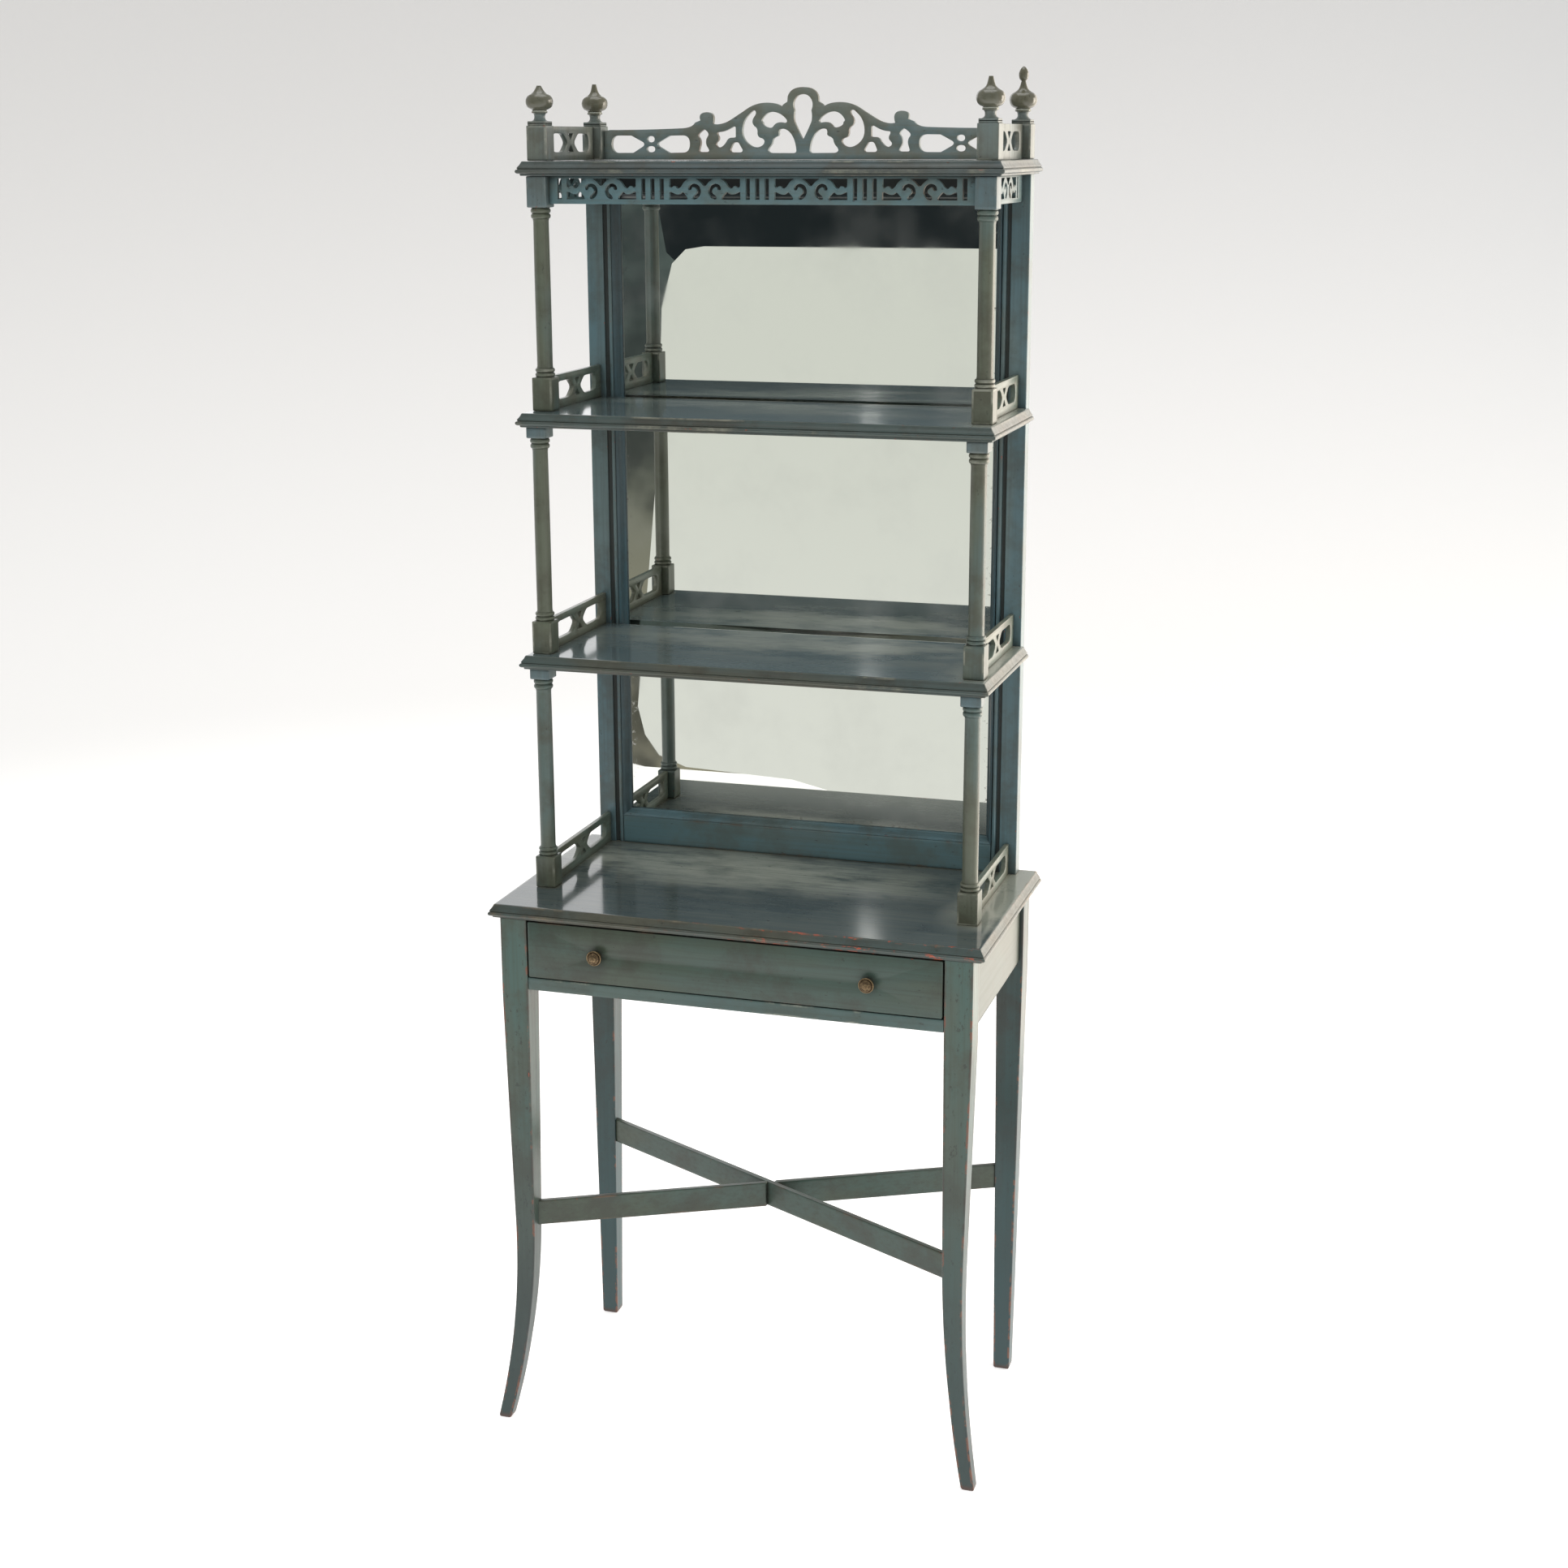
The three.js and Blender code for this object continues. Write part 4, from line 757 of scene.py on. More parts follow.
# Below this height the square legs taper
LEG_BLOCK_BOTTOM = 615.0
# Below this height the front legs curve outward and forward
KNEE = 300.0
FRONT_FOOT_WIDTH, REAR_FOOT_WIDTH = 15.9, 22.9
LEG_X = box_mm("leg_rear_right")[0][0] + LEG_WIDTH / 2
FRONT_LEG_Y = box_mm("leg_front_right")[1][1] - LEG_WIDTH / 2
REAR_LEG_FRONT_FACE = box_mm("leg_rear_right")[0][1]


def front_leg_station(z):
    """The centre of the right-hand front leg at a height, and its width there."""
    width = FRONT_FOOT_WIDTH + (LEG_WIDTH - FRONT_FOOT_WIDTH) * min(1, z / LEG_BLOCK_BOTTOM) ** 0.82
    # The foot is a little wider than the taper gives, on its inner sides
    swell = 1.7 * max(0, 1 - z / 120)
    bend = min(1, max(0, (LEG_BLOCK_BOTTOM - z) / (LEG_BLOCK_BOTTOM - KNEE)))
    splay = max(0, 1 - z / KNEE) ** 2.2
    x = LEG_X - 2.7 * bend + 31.3 * splay - swell / 2
    y = FRONT_LEG_Y - 4.4 * bend - 28.5 * splay + swell / 2
    return x, y, width + swell


def rear_leg_station(z):
    """The same of the right-hand rear leg, whose front face is straight."""
    width = REAR_FOOT_WIDTH + (LEG_WIDTH - REAR_FOOT_WIDTH) * min(1, z / LEG_BLOCK_BOTTOM)
    return LEG_X, REAR_LEG_FRONT_FACE + width / 2, width


def leg(node, side, station, paint):
    """A square leg through its stations, closer together near the foot, whose sole is worn round."""
    worn_off = {0.0: 2.6, 0.6: 1.5, 1.5: 0.7, 2.8: 0.2}
    top = box_mm(node)[1][2]
    heights = [*worn_off, 4.2] + [8 + (LEG_BLOCK_BOTTOM - 8) * (i / 44) ** 1.15 for i in range(45)]
    heights += [LEG_BLOCK_BOTTOM + 40, top - 3, top]
    shape = Shape()
    rings = []
    for z in heights:
        x, y, width = station(z)
        half = width / 2 - worn_off.get(z, 0.0)
        points, wears = soft_rectangle(side * x - half, side * x + half, y - half, y + half, 1.3, 2.4, 3)
        rings.append(shape.ring([(*point, z) for point in points], wears))
    shape.loft(rings)
    finish_piece(node + "_shaped", shape, paint, [node])


for side, hand in ((-1, "left"), (1, "right")):
    leg("leg_front_" + hand, side, front_leg_station, front_leg_paint)
    leg("leg_rear_" + hand, side, rear_leg_station, shaded_rear_leg_paint)
board("apron_left", table_end_paint)
board("apron_right", table_end_paint)
board("apron_back", green)
board("front_rail", rail_paint)


def stretchers():
    """One board runs through from corner to corner. The other meets it in two lengths."""
    (_, _, z0), (_, _, z1) = box_mm("stretcher_front_right")
    front_x, front_y, _ = front_leg_station((z0 + z1) / 2)
    rear_x, rear_y, _ = rear_leg_station((z0 + z1) / 2)
    half = 4.0
    # How far the boards stop short of the centres of the legs, and of each other where they cross
    from_front, from_rear, crossing_gap = 12, 10, 0.15
    for side, hand in ((1, "right"), (-1, "left")):
        start, end = Vector((side * front_x, front_y)), Vector((-side * rear_x, rear_y))
        other_start, other_end = Vector((-side * front_x, front_y)), Vector((side * rear_x, rear_y))
        run, other = (end - start).normalized(), (other_end - other_start).normalized()
        across = Vector((-run.y, run.x)) * half
        near, far = start + run * from_front, end - run * from_rear
        node = "stretcher_front_" + hand
        if side > 0:
            lengths = {"_board": [near - across, far - across, far + across, near + across]}
        else:
            sine = run.cross(other)
            middle = start + run * (other_start - start).cross(other) / sine
            clear = run * (half + crossing_gap) / abs(sine)
            # The ends at the crossing are cut at its slant
            slant = across - run * half * run.dot(other) / sine
            near_end, far_end = middle - clear, middle + clear
            lengths = {"_near_length": [near - across, near_end - slant, near_end + slant, near + across],
                       "_far_length": [far_end - slant, far - across, far + across, far_end + slant]}
        for suffix, outline in lengths.items():
            shape = eased_solid([tuple(point) for point in outline], z0, z1)
            finish_piece(node + suffix, shape, green, [node])


stretchers()


# Drawer and knobs

def drawer_front():
    """The drawer's face, its arrises rounded more than those round it, and bored for the knobs' stems."""
    lo, hi = box_mm("drawer_front")
    middle, bore = (lo[2] + hi[2]) / 2, 2.3
    angles = [math.radians(degrees) for degrees in range(0, 360, 20)]
    holes = []
    for node in ("knob_left", "knob_right"):
        x = (box_mm(node)[0][0] + box_mm(node)[1][0]) / 2
        holes.append([(x + bore * math.cos(a), middle + bore * math.sin(a)) for a in angles])

    def place(u, v, out):
        return (u, hi[1] - out, v)

    outline = rounded_polygon(rectangle(lo[0], hi[0], lo[2], hi[2]), 2.5, 4)
    shape = fretted_shape(outline, holes, hi[1] - lo[1], place, ease=1.1)
    finish_piece("drawer_front_panel", shape, green, ["drawer_front"], "drawer", sharp=30)


drawer_front()
for side, axis in (("side_left", "y"), ("side_right", "y"), ("back", "x"), ("bottom", "x")):
    board("drawer_" + side, wood[axis], 0.5, "drawer")


def knob(node):
    """A turned brass knob: its stem, a foot, a waist and a domed head with rings cut into its face."""
    lo, hi = box_mm(node)
    face = box_mm("drawer_front")[0][1]
    stem = [(1.9, -24.0, 0.0), (2.0, -0.2, 0.0)]
    foot = [(6.1, 0.0, 0.2), (6.3, 0.6, 1.0), (6.2, 1.6, 0.4), (4.6, 2.2, 0.0)]
    waist = [(3.7, 3.2, -0.4), (3.6, 5.2, -0.4), (4.4, 6.6, 0.0)]
    rim = [(7.6, 7.8, 0.1), (9.4, 8.6, 0.4), (10.25, 9.6, 1.0), (10.2, 10.4, 1.2), (9.8, 11.0, 1.4),
           (9.2, 11.2, 1.0)]
    outer_ring = [(8.8, 10.7, -0.6), (8.3, 10.7, -1.0), (8.1, 11.4, -0.2), (7.9, 12.6, 0.3), (7.4, 13.5, 0.3),
                  (6.6, 14.2, 0.2), (5.7, 14.8, 0.4)]
    inner_ring = [(5.3, 14.6, -0.6), (4.9, 14.7, -0.4), (4.5, 15.1, 0.4)]
    button = [(3.4, 15.6, 0.6), (1.9, 15.9, 0.4), (0.01, 16.0, 0.4)]

    def place(u, v, out):
        return ((lo[0] + hi[0]) / 2 + u, face - out, (lo[2] + hi[2]) / 2 + v)

    shape = Shape()
    turn(shape, stem + foot + waist + rim + outer_ring + inner_ring + button, place, 36)
    finish_piece(node + "_turned", shape, brass, [node], "drawer", sharp=70)


def refinish(node, material):
    """Gives its material to a CAD node that is shown as it is."""
    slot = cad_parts[node].material_slots[0]
    slot.link = "OBJECT"
    slot.material = material


for hand in ("left", "right"):
    knob("knob_" + hand)
    refinish("knob_nut_" + hand, brass)
    refinish("drawer_runner_" + hand, wood["y"])


# Columns and finial posts

BLOCK_HALF = 13.5
BLOCK_HEIGHT = 43.0


def half_round(z0, z1, inner, outer, steps=7):
    """A bead between two heights, as (radius, height, wear) points."""
    middle, half = (z0 + z1) / 2, (z1 - z0) / 2
    made = []
    # The quirks at a bead's ends get wear below 0, which paints them dark: glaze and painted shade
    for i in range(steps + 1):
        t = math.pi * i / steps
        wear = -0.8 if i in (0, steps) else math.sin(t) ** 4
        made.append((inner + (outer - inner) * math.sin(t), middle - half * math.cos(t), wear))
    return made


def column(node, capital):
    """A square plinth, a pair of beads, a round shaft, another pair of beads and a square capital."""
    lo, hi = box_mm(node)
    cx, cy = (lo[0] + hi[0]) / 2, (lo[1] + hi[1]) / 2
    low, high = BLOCK_HEIGHT, hi[2] - lo[2] - capital
    groove, bead = 10.5, (13.0, 12.8)
    profile = [(12.6, low - 0.5, 0.0), (12.6, low + 0.6, 0.6)]
    profile += half_round(low + 0.6, low + 6.2, groove, bead[0])
    profile += half_round(low + 6.4, low + 12.0, groove, bead[1])
    profile += [(10.6, low + 12.6, 0.0), (10.25, low + 14.5, 0.0)]
    for i in range(7):
        share = i / 6
        swell = 0.25 * math.sin(math.pi * share)
        profile.append((10.2 + swell - 0.15 * share, low + 16 + (high - low - 34) * share, 0.0))
    profile += [(10.15, high - 16.4, 0.0), (10.6, high - 14.4, 0.0)]
    profile += half_round(high - 14.0, high - 7.5, groove, bead[1])
    profile += half_round(high - 7.3, high - 0.8, groove, bead[0])
    profile += [(12.4, high - 0.6, 0.5), (12.4, high + 0.5, 0.0)]

    def place(u, v, up):
        return (cx + u, cy + v, lo[2] + up)

    shape = Shape()
    square_block(shape, cx, cy, BLOCK_HALF, lo[2], lo[2] + BLOCK_HEIGHT)
    turn(shape, profile, place, 40)
    finish_piece(node + "_turned", shape, column_paint, [node])
    block = Shape()
    square_block(block, cx, cy, BLOCK_HALF, hi[2] - capital, hi[2])
    finish_piece(node + "_capital", block, capital_paint, [node])


for tier, capital in (("lower", 14.0), ("middle", 14.0), ("upper", 39.0)):
    for hand in ("left", "right"):
        column(f"column_{tier}_{hand}", capital)


def finial_post(node, spire, acorn=False):
    """A square block, a shoulder, a neck, a collar, a flattened bulb and a spire, which an acorn may end.
    Each turned member is given as (radius, height, wear) points from its own foot."""
    lo, hi = box_mm(node)
    cx, cy = (lo[0] + hi[0]) / 2, (lo[1] + hi[1]) / 2
    block_top, shoulder_half, shoulder_top = 43.5, 12.2, 48.8
    neck = [(11.0, -0.5, 0.0), (11.0, 0.0, 0.3), (9.2, 0.9, 0.0), (7.9, 2.0, 0.0), (7.1, 3.6, 0.0),
            (6.9, 5.4, 0.0), (7.1, 7.4, 0.0), (7.8, 9.0, 0.0), (8.9, 9.8, -0.6)]
    # Wear above 1.3 paints a pale line on the collar, worn undercoat and a painted highlight; wear below 0 at
    # the neck and the bulb paints grooves dark, glaze and painted shade
    collar = [(10.0, 0.0, 0.0), (10.2, 0.6, 0.6), (10.2, 1.9, 1.6), (10.0, 2.7, 2.0), (9.0, 3.3, 1.6)]
    bulb = [(8.9, 0.1, -0.5), (9.6, 0.5, 0.0), (12.4, 1.6, 0.0), (14.3, 2.8, 0.0), (15.7, 4.2, 0.0),
            (16.8, 6.2, 0.0), (17.5, 8.4, 0.3), (17.75, 10.9, 0.3), (17.5, 13.2, 0.3), (16.9, 15.1, 0.0),
            (15.9, 16.8, 0.0), (14.6, 18.2, 0.0), (13.2, 19.2, 0.0), (12.4, 19.7, 0.0), (11.6, 20.0, -0.5),
            (10.3, 20.8, 0.0), (8.9, 21.8, 0.0), (7.5, 22.9, 0.0), (6.3, 24.3, 0.0), (5.3, 26.0, 0.0)]
    spike = [(4.4, 0.3 * spire, 0.2), (3.3, 0.75 * spire, 0.4), (2.8, spire, 0.6)]
    if acorn:
        height = 17.8
        shares = [(4.3, 0.05), (5.3, 0.13), (6.0, 0.24), (6.3, 0.38), (6.3, 0.5), (5.8, 0.62), (4.8, 0.75),
                  (3.5, 0.86), (2.1, 0.94), (0.9, 0.99), (0.3, 1.0)]
        tip = [(3.4, 0.3, 0.3)] + [(radius, height * share, 0.2) for radius, share in shares]
    else:
        tip = [(2.2, 0.0, 0.6)]
    profile, foot = [], shoulder_top
    for member, height in ((neck, 9.9), (collar, 3.3), (bulb, 26.0), (spike, spire), (tip, 0.0)):
        profile += [(radius, foot + up, wear) for radius, up, wear in member]
        foot += height

    def place(u, v, up):
        return (cx + u, cy + v, lo[2] + up)

    shape = Shape()
    square_block(shape, cx, cy, BLOCK_HALF, lo[2], lo[2] + block_top)
    square_block(shape, cx, cy, shoulder_half, lo[2] + block_top, lo[2] + shoulder_top, 0.6)
    turn(shape, profile, place, 44)
    finish_piece(node + "_turned", shape, post_paint, [node], sharp=60)


finial_post("finial_post_front_left", 4.3)
finial_post("finial_post_front_right", 9.7)
finial_post("finial_post_rear_left", 9.7)
finial_post("finial_post_rear_right", 8.2, acorn=True)


# Galleries, friezes and crest

def gallery(node, paint):
    """A pierced side board: two six-sided windows that meet in a cross, with an eye above and below it."""
    lo, hi = box_mm(node)
    centre, half = (lo[1] + hi[1]) / 2, (hi[1] - lo[1]) / 2
    bottom, top = 10.7, 34.0
    # The point and the shoulders of a window, and its outer end with cut corners
    point, shoulder, end, cut = 10.5, 25.5, half - 19.0, 5.5
    window = rounded_polygon([
        (point, (top + bottom) / 2), (shoulder, bottom), (end - cut, bottom), (end, bottom + cut),
        (end, top - cut), (end - cut, top), (shoulder, top)], 6.0)
    eye = 9.0
    eyes = [rounded_polygon([(-eye, top), (0, top - eye), (eye, top)], 2.5),
            rounded_polygon([(-eye, bottom), (eye, bottom), (0, bottom + eye)], 2.5)]
    outline = rectangle(-half, half, 0, hi[2] - lo[2])

    def place(u, v, out):
        return (lo[0] + out, centre + u, lo[2] + v)

    shape = fretted_shape(outline, [window, mirrored(window), *eyes], hi[0] - lo[0], place)
    finish_piece(node + "_pierced", shape, paint, [node], sharp=30)


for tier in ("lower", "middle", "upper", "top"):
    for hand in ("left", "right"):
        gallery(f"gallery_{tier}_{hand}", post_paint if tier == "top" else gallery_paint)

# Strokes of the openings in one repeat of the frieze, as shares of its length and height. Those of the pair
# stand mirrored in its other half too
FRIEZE_PAIR = [
    [[0.161, 0], [0.161, 0.34], [0.165, 0.39, 0.19, 0.335], [0.245, 0.17, 0.268, 0.295],
     [0.29, 0.43, 0.312, 0.25], [0.335, 0.13, 0.336, 0.07], [0.336, 0, 0.325, 0]],
    [[0.343, 0.53], [0.35, 0.755, 0.4, 0.76], [0.463, 0.74, 0.465, 0.35], [0.45, 0.04, 0.405, 0.005],
     [0.375, 0.01, 0.395, 0.185], [0.44, 0.335, 0.425, 0.48], [0.4, 0.645, 0.381, 0.58],
     [0.375, 0.44, 0.358, 0.445], [0.345, 0.44, 0.343, 0.53]],
    [[0.162, 1], [0.162, 0.66], [0.168, 0.525, 0.192, 0.6], [0.215, 0.7, 0.23, 0.59],
     [0.25, 0.455, 0.28, 0.645], [0.305, 0.89, 0.345, 1]],
]
FRIEZE_MIDDLE = [[0.42, 1], [0.46, 0.86, 0.485, 0.685], [0.5, 0.62, 0.515, 0.685], [0.54, 0.86, 0.58, 1]]


def frieze(node, along):
    """A fretted board of scroll pairs between upright slots, in whole repeats about its middle."""
    lo, hi = box_mm(node)
    k = "xy".index(along)
    centre, length = (lo[k] + hi[k]) / 2, hi[k] - lo[k]
    pitch, bottom, band = 138.4, 6.0, 25.5
    count = int(length // pitch)
    slot_half, slot_inset = 2.7, 12.4
    slot = rectangle(-slot_half, slot_half, 0, band)
    openings = []
    for i in range(count):
        start = (i - count / 2) * pitch
        for strokes in FRIEZE_PAIR:
            points = curve_points(strokes, pitch, band)
            openings.append(shifted(points, start, bottom))
            openings.append(shifted(mirrored(points, pitch / 2), start, bottom))
        openings.append(shifted(curve_points(FRIEZE_MIDDLE, pitch, band), start, bottom))
        openings.append(shifted(slot, start + slot_inset, bottom))
        openings.append(shifted(slot, start + pitch - slot_inset, bottom))
        if i > 0:
            openings.append(shifted(slot, start, bottom))

    def place(u, v, out):
        if along == "x":
            return (centre + u, hi[1] - out, lo[2] + v)
        return (lo[0] + out, centre + u, lo[2] + v)

    outline = rectangle(-length / 2, length / 2, 0, hi[2] - lo[2])
    thickness = hi[1 - k] - lo[1 - k]
    shape = fretted_shape(outline, openings, thickness, place, ease=0.4)
    finish_piece(node + "_fretted", shape, teal[along], [node], sharp=30)


frieze("frieze_front", "x")
frieze("frieze_left", "y")
frieze("frieze_right", "y")

# Strokes of the right-hand half of the crest, as shares of its half width and its height
CREST_EDGE = [
    [0, 1], [0.062, 1, 0.075, 0.87], [0.077, 0.8], [0.096, 0.765], [0.104, 0.736],
    [0.13, 0.79, 0.18, 0.79], [0.24, 0.79, 0.29, 0.68], [0.35, 0.57], [0.4, 0.475, 0.447, 0.5],
    [0.43, 0.66, 0.477, 0.665], [0.524, 0.66, 0.51, 0.55], [0.537, 0.52], [0.55, 0.45, 0.6, 0.443],
    [0.8, 0.42, 0.97, 0.424], [1, 0.41],
]
CREST_KEYHOLE = [
    [0, 0.902], [0.036, 0.9, 0.046, 0.79], [0.05, 0.74, 0.041, 0.68], [0.047, 0.6, 0.042, 0.53],
    [0.03, 0.44, 0, 0.27],
]
CREST_OPENINGS = [
    [[0.803, 0.25], [0.862, 0.342], [0.925, 0.343], [0.963, 0.343, 0.963, 0.22], [0.963, 0.099, 0.925, 0.099],
     [0.853, 0.099], [0.803, 0.187], [0.79, 0.22, 0.803, 0.25]],
    [[0.781, 0.29], [0.781, 0.334, 0.762, 0.334], [0.743, 0.334, 0.743, 0.29], [0.743, 0.246, 0.762, 0.246],
     [0.781, 0.246, 0.781, 0.29]],
    [[0.784, 0.15], [0.784, 0.193, 0.762, 0.193], [0.741, 0.193, 0.741, 0.15], [0.741, 0.106, 0.762, 0.106],
     [0.784, 0.106, 0.784, 0.15]],
    [[0.72, 0.251], [0.665, 0.338], [0.6, 0.341], [0.564, 0.34, 0.564, 0.225], [0.564, 0.1, 0.6, 0.1],
     [0.667, 0.098], [0.72, 0.186], [0.735, 0.22, 0.72, 0.251]],
    [[0.49, 0.425], [0.46, 0.37, 0.475, 0.32], [0.487, 0.27, 0.48, 0.2], [0.468, 0.14],
     [0.466, 0.108, 0.48, 0.108], [0.51, 0.108], [0.52, 0.112, 0.517, 0.14], [0.511, 0.2],
     [0.505, 0.27, 0.519, 0.315], [0.53, 0.36, 0.49, 0.425]],
    [[0.42, 0.385], [0.385, 0.385, 0.345, 0.463], [0.333, 0.465, 0.333, 0.44], [0.333, 0.32],
     [0.333, 0.308, 0.35, 0.308], [0.372, 0.31, 0.38, 0.25], [0.4, 0.165, 0.418, 0.172],
     [0.442, 0.2, 0.426, 0.25], [0.41, 0.29, 0.423, 0.345], [0.428, 0.38, 0.42, 0.385]],
    [[0.325, 0.24], [0.34, 0.24], [0.348, 0.23, 0.352, 0.2], [0.361, 0.135], [0.36, 0.102, 0.348, 0.102],
     [0.312, 0.102], [0.298, 0.104, 0.3, 0.14], [0.314, 0.21], [0.318, 0.238, 0.325, 0.24]],
    [[0.24, 0.685], [0.225, 0.665, 0.238, 0.605], [0.26, 0.53, 0.24, 0.465], [0.222, 0.44, 0.225, 0.37],
     [0.224, 0.305, 0.203, 0.297], [0.183, 0.27, 0.195, 0.215], [0.215, 0.15, 0.25, 0.183],
     [0.302, 0.255, 0.3, 0.41], [0.297, 0.56, 0.262, 0.645], [0.25, 0.685, 0.24, 0.685]],
    [[0.204, 0.55], [0.185, 0.66, 0.148, 0.662], [0.105, 0.65, 0.08, 0.55], [0.075, 0.505, 0.092, 0.51],
     [0.13, 0.54, 0.148, 0.455], [0.158, 0.43, 0.178, 0.452], [0.2, 0.475, 0.197, 0.515],
     [0.206, 0.53, 0.204, 0.55]],
    [[0.114, 0.42], [0.085, 0.45, 0.058, 0.355], [0.036, 0.26, 0.033, 0.13], [0.032, 0.09, 0.048, 0.09],
     [0.155, 0.092], [0.185, 0.11, 0.165, 0.175], [0.152, 0.215, 0.149, 0.265], [0.147, 0.3, 0.13, 0.318],
     [0.115, 0.335, 0.119, 0.37], [0.12, 0.4, 0.114, 0.42]],
]


def crest():
    """A fretted board that rises to a keyhole between scrolls."""
    lo, hi = box_mm("crest")
    half, height = hi[0], hi[2] - lo[2]
    edge = curve_points(CREST_EDGE, half, height) + [(half, 0)]
    keyhole = curve_points(CREST_KEYHOLE, half, height)
    openings = [curve_points(strokes, half, height) for strokes in CREST_OPENINGS]
    openings += [mirrored(points) for points in openings]
    openings.append(keyhole + mirrored(keyhole))

    def place(u, v, out):
        return (u, hi[1] - out, lo[2] + v)

    shape = fretted_shape(edge + mirrored(edge), openings, hi[1] - lo[1], place)
    finish_piece("crest_fretted", shape, crest_paint, ["crest"], sharp=30)


crest()


# Back frame, sight moulding, mirror and back planks

def stile(node, side):
    """An upright of the back frame: a flat face, a groove, and a round bead along the inner edge."""
    lo, hi = box_mm(node)
    outer, front, back = max(abs(lo[0]), abs(hi[0])), lo[1], hi[1]
    groove = outer - 23.8
    bead = groove - 5.5
    inner, bead_radius = bead - 6.5, 3.25
    floor = front + 4.0
    # The groove's wear below 0 paints it dark: glaze and painted shade
    section = [(outer, back, 0.6), (outer, back - 2.0, 0.0), (outer, front + 3.2, 0.0),
               (outer, front + 0.8, 1.0), (outer - 0.8, front, 1.0), (outer - 3.4, front, 0.0),
               (groove + 2.4, front, 0.0), (groove + 0.5, front, 1.0), (groove, front + 0.5, 0.6),
               (groove, front + 2.0, -0.6), (groove, floor - 0.4, -1.0), (groove - 0.6, floor, -1.0),
               (bead + 0.4, floor, -1.0)]
    for i in range(9):
        t = math.pi * i / 8
        x, y = (bead + inner) / 2 + bead_radius * math.cos(t), front + bead_radius * (1 - math.sin(t))
        section.append((x, y, math.sin(t) ** 3))
    section += [(inner, front + 6.0, 0.0), (inner, back, 0.0)]
    # The rings run counterclockwise seen from above
    if side > 0:
        section.reverse()
    shape = Shape()
    wears = [wear for _, _, wear in section]
    shape.loft([shape.ring([(side * x, y, z) for x, y, _ in section], wears) for z in (lo[2], hi[2])])
    finish_piece(node + "_moulded", shape, stile_paint, [node], sharp=40)


stile("back_stile_left", -1)
stile("back_stile_right", 1)
board("back_rail_bottom", teal["x"])
# The top rail is painted near black, a painted shade behind the frieze
board("back_rail_top", shaded_rail_paint)


def sight_moulding(node, along, sign, paint):
    """A mitred strip: a quirk at its outer edge, then an ogee that falls towards the glass. sign is 1 where
    the glass lies on the side of greater x or z."""
    lo, hi = box_mm(node)
    front, back = lo[1], hi[1]
    run, across = (0, 2) if along == "x" else (2, 0)
    width, drop = hi[across] - lo[across], 12.0
    section = [(back, 0.0, 0.0), (front, 0.0, 0.6), (front, 0.5, 1.0), (front + 0.6, 1.1, 0.2),
               (front + 1.0, 1.6, 0.0)]
    for i in range(1, 9):
        t = i / 8
        fall = t - 0.13 * math.sin(2 * math.pi * t)
        section.append((front + 1.0 + (drop - 2.2) * fall, 1.6 + (width - 2.6) * t, 0.2 if i < 5 else 0.0))
    section += [(front + drop - 0.6, width - 0.4, 0.8), (front + drop, width, 0.8), (back, width, 0.0)]
    outer_edge = lo[across] if sign > 0 else hi[across]
    shape = Shape()
    rings = []
    for end, inward_sign in ((lo[run], 1), (hi[run], -1)):
        ring = []
        for y, inward, _ in section:
            lengthwise, sideways = end + inward_sign * inward, outer_edge + sign * inward
            ring.append((lengthwise, y, sideways) if along == "x" else (sideways, y, lengthwise))
        rings.append(shape.ring(ring, [wear for _, _, wear in section]))
    shape.loft(rings)
    if (along == "x") == (sign > 0):
        shape.faces = [tuple(reversed(face)) for face in shape.faces]
    finish_piece(node + "_moulded", shape, paint, [node], sharp=45)


sight_moulding("sight_moulding_bottom", "x", 1, lower_sight_paint)
sight_moulding("sight_moulding_top", "x", -1, upper_sight_paint)
sight_moulding("sight_moulding_left", "z", 1, side_sight_paint)
sight_moulding("sight_moulding_right", "z", -1, side_sight_paint)

board("mirror", silvered_glass(*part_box("mirror")), 0.4)

BACK_PLANKS = 4


def back_planks():
    """Four upright planks behind the glass, rough and unpainted, with a narrow gap between neighbours."""
    lo, hi = box_mm("back_board")
    width, half_gap = (hi[0] - lo[0]) / BACK_PLANKS, 0.4
    plank_wood = sawn_softwood("back_planks", "z", "#84694b", "#654b33", width)
    for i in range(BACK_PLANKS):
        x0 = lo[0] + i * width + (half_gap if i else 0.0)
        x1 = lo[0] + (i + 1) * width - (half_gap if i < BACK_PLANKS - 1 else 0.0)
        shape = eased_solid(rectangle(x0, x1, lo[1], hi[1]), lo[2], hi[2], 0.9)
        finish_piece(f"back_plank_{i + 1}", shape, plank_wood, ["back_board"])


back_planks()


# Floor, backdrop, light and camera, in metres

FLOOR_WHITE, FLOOR_GLOW = "#e4e4e4", 0.8
FLOOR_Z = -0.0005
FLOOR_RADIUS, SWEEP_RADIUS, SWEEP_TOP = 2.4, 2.0, 5.5
# In millimetres, as the other patterns are
PAPER_FIBRES = 16.67
WALL_BLOTCHES = 454.5


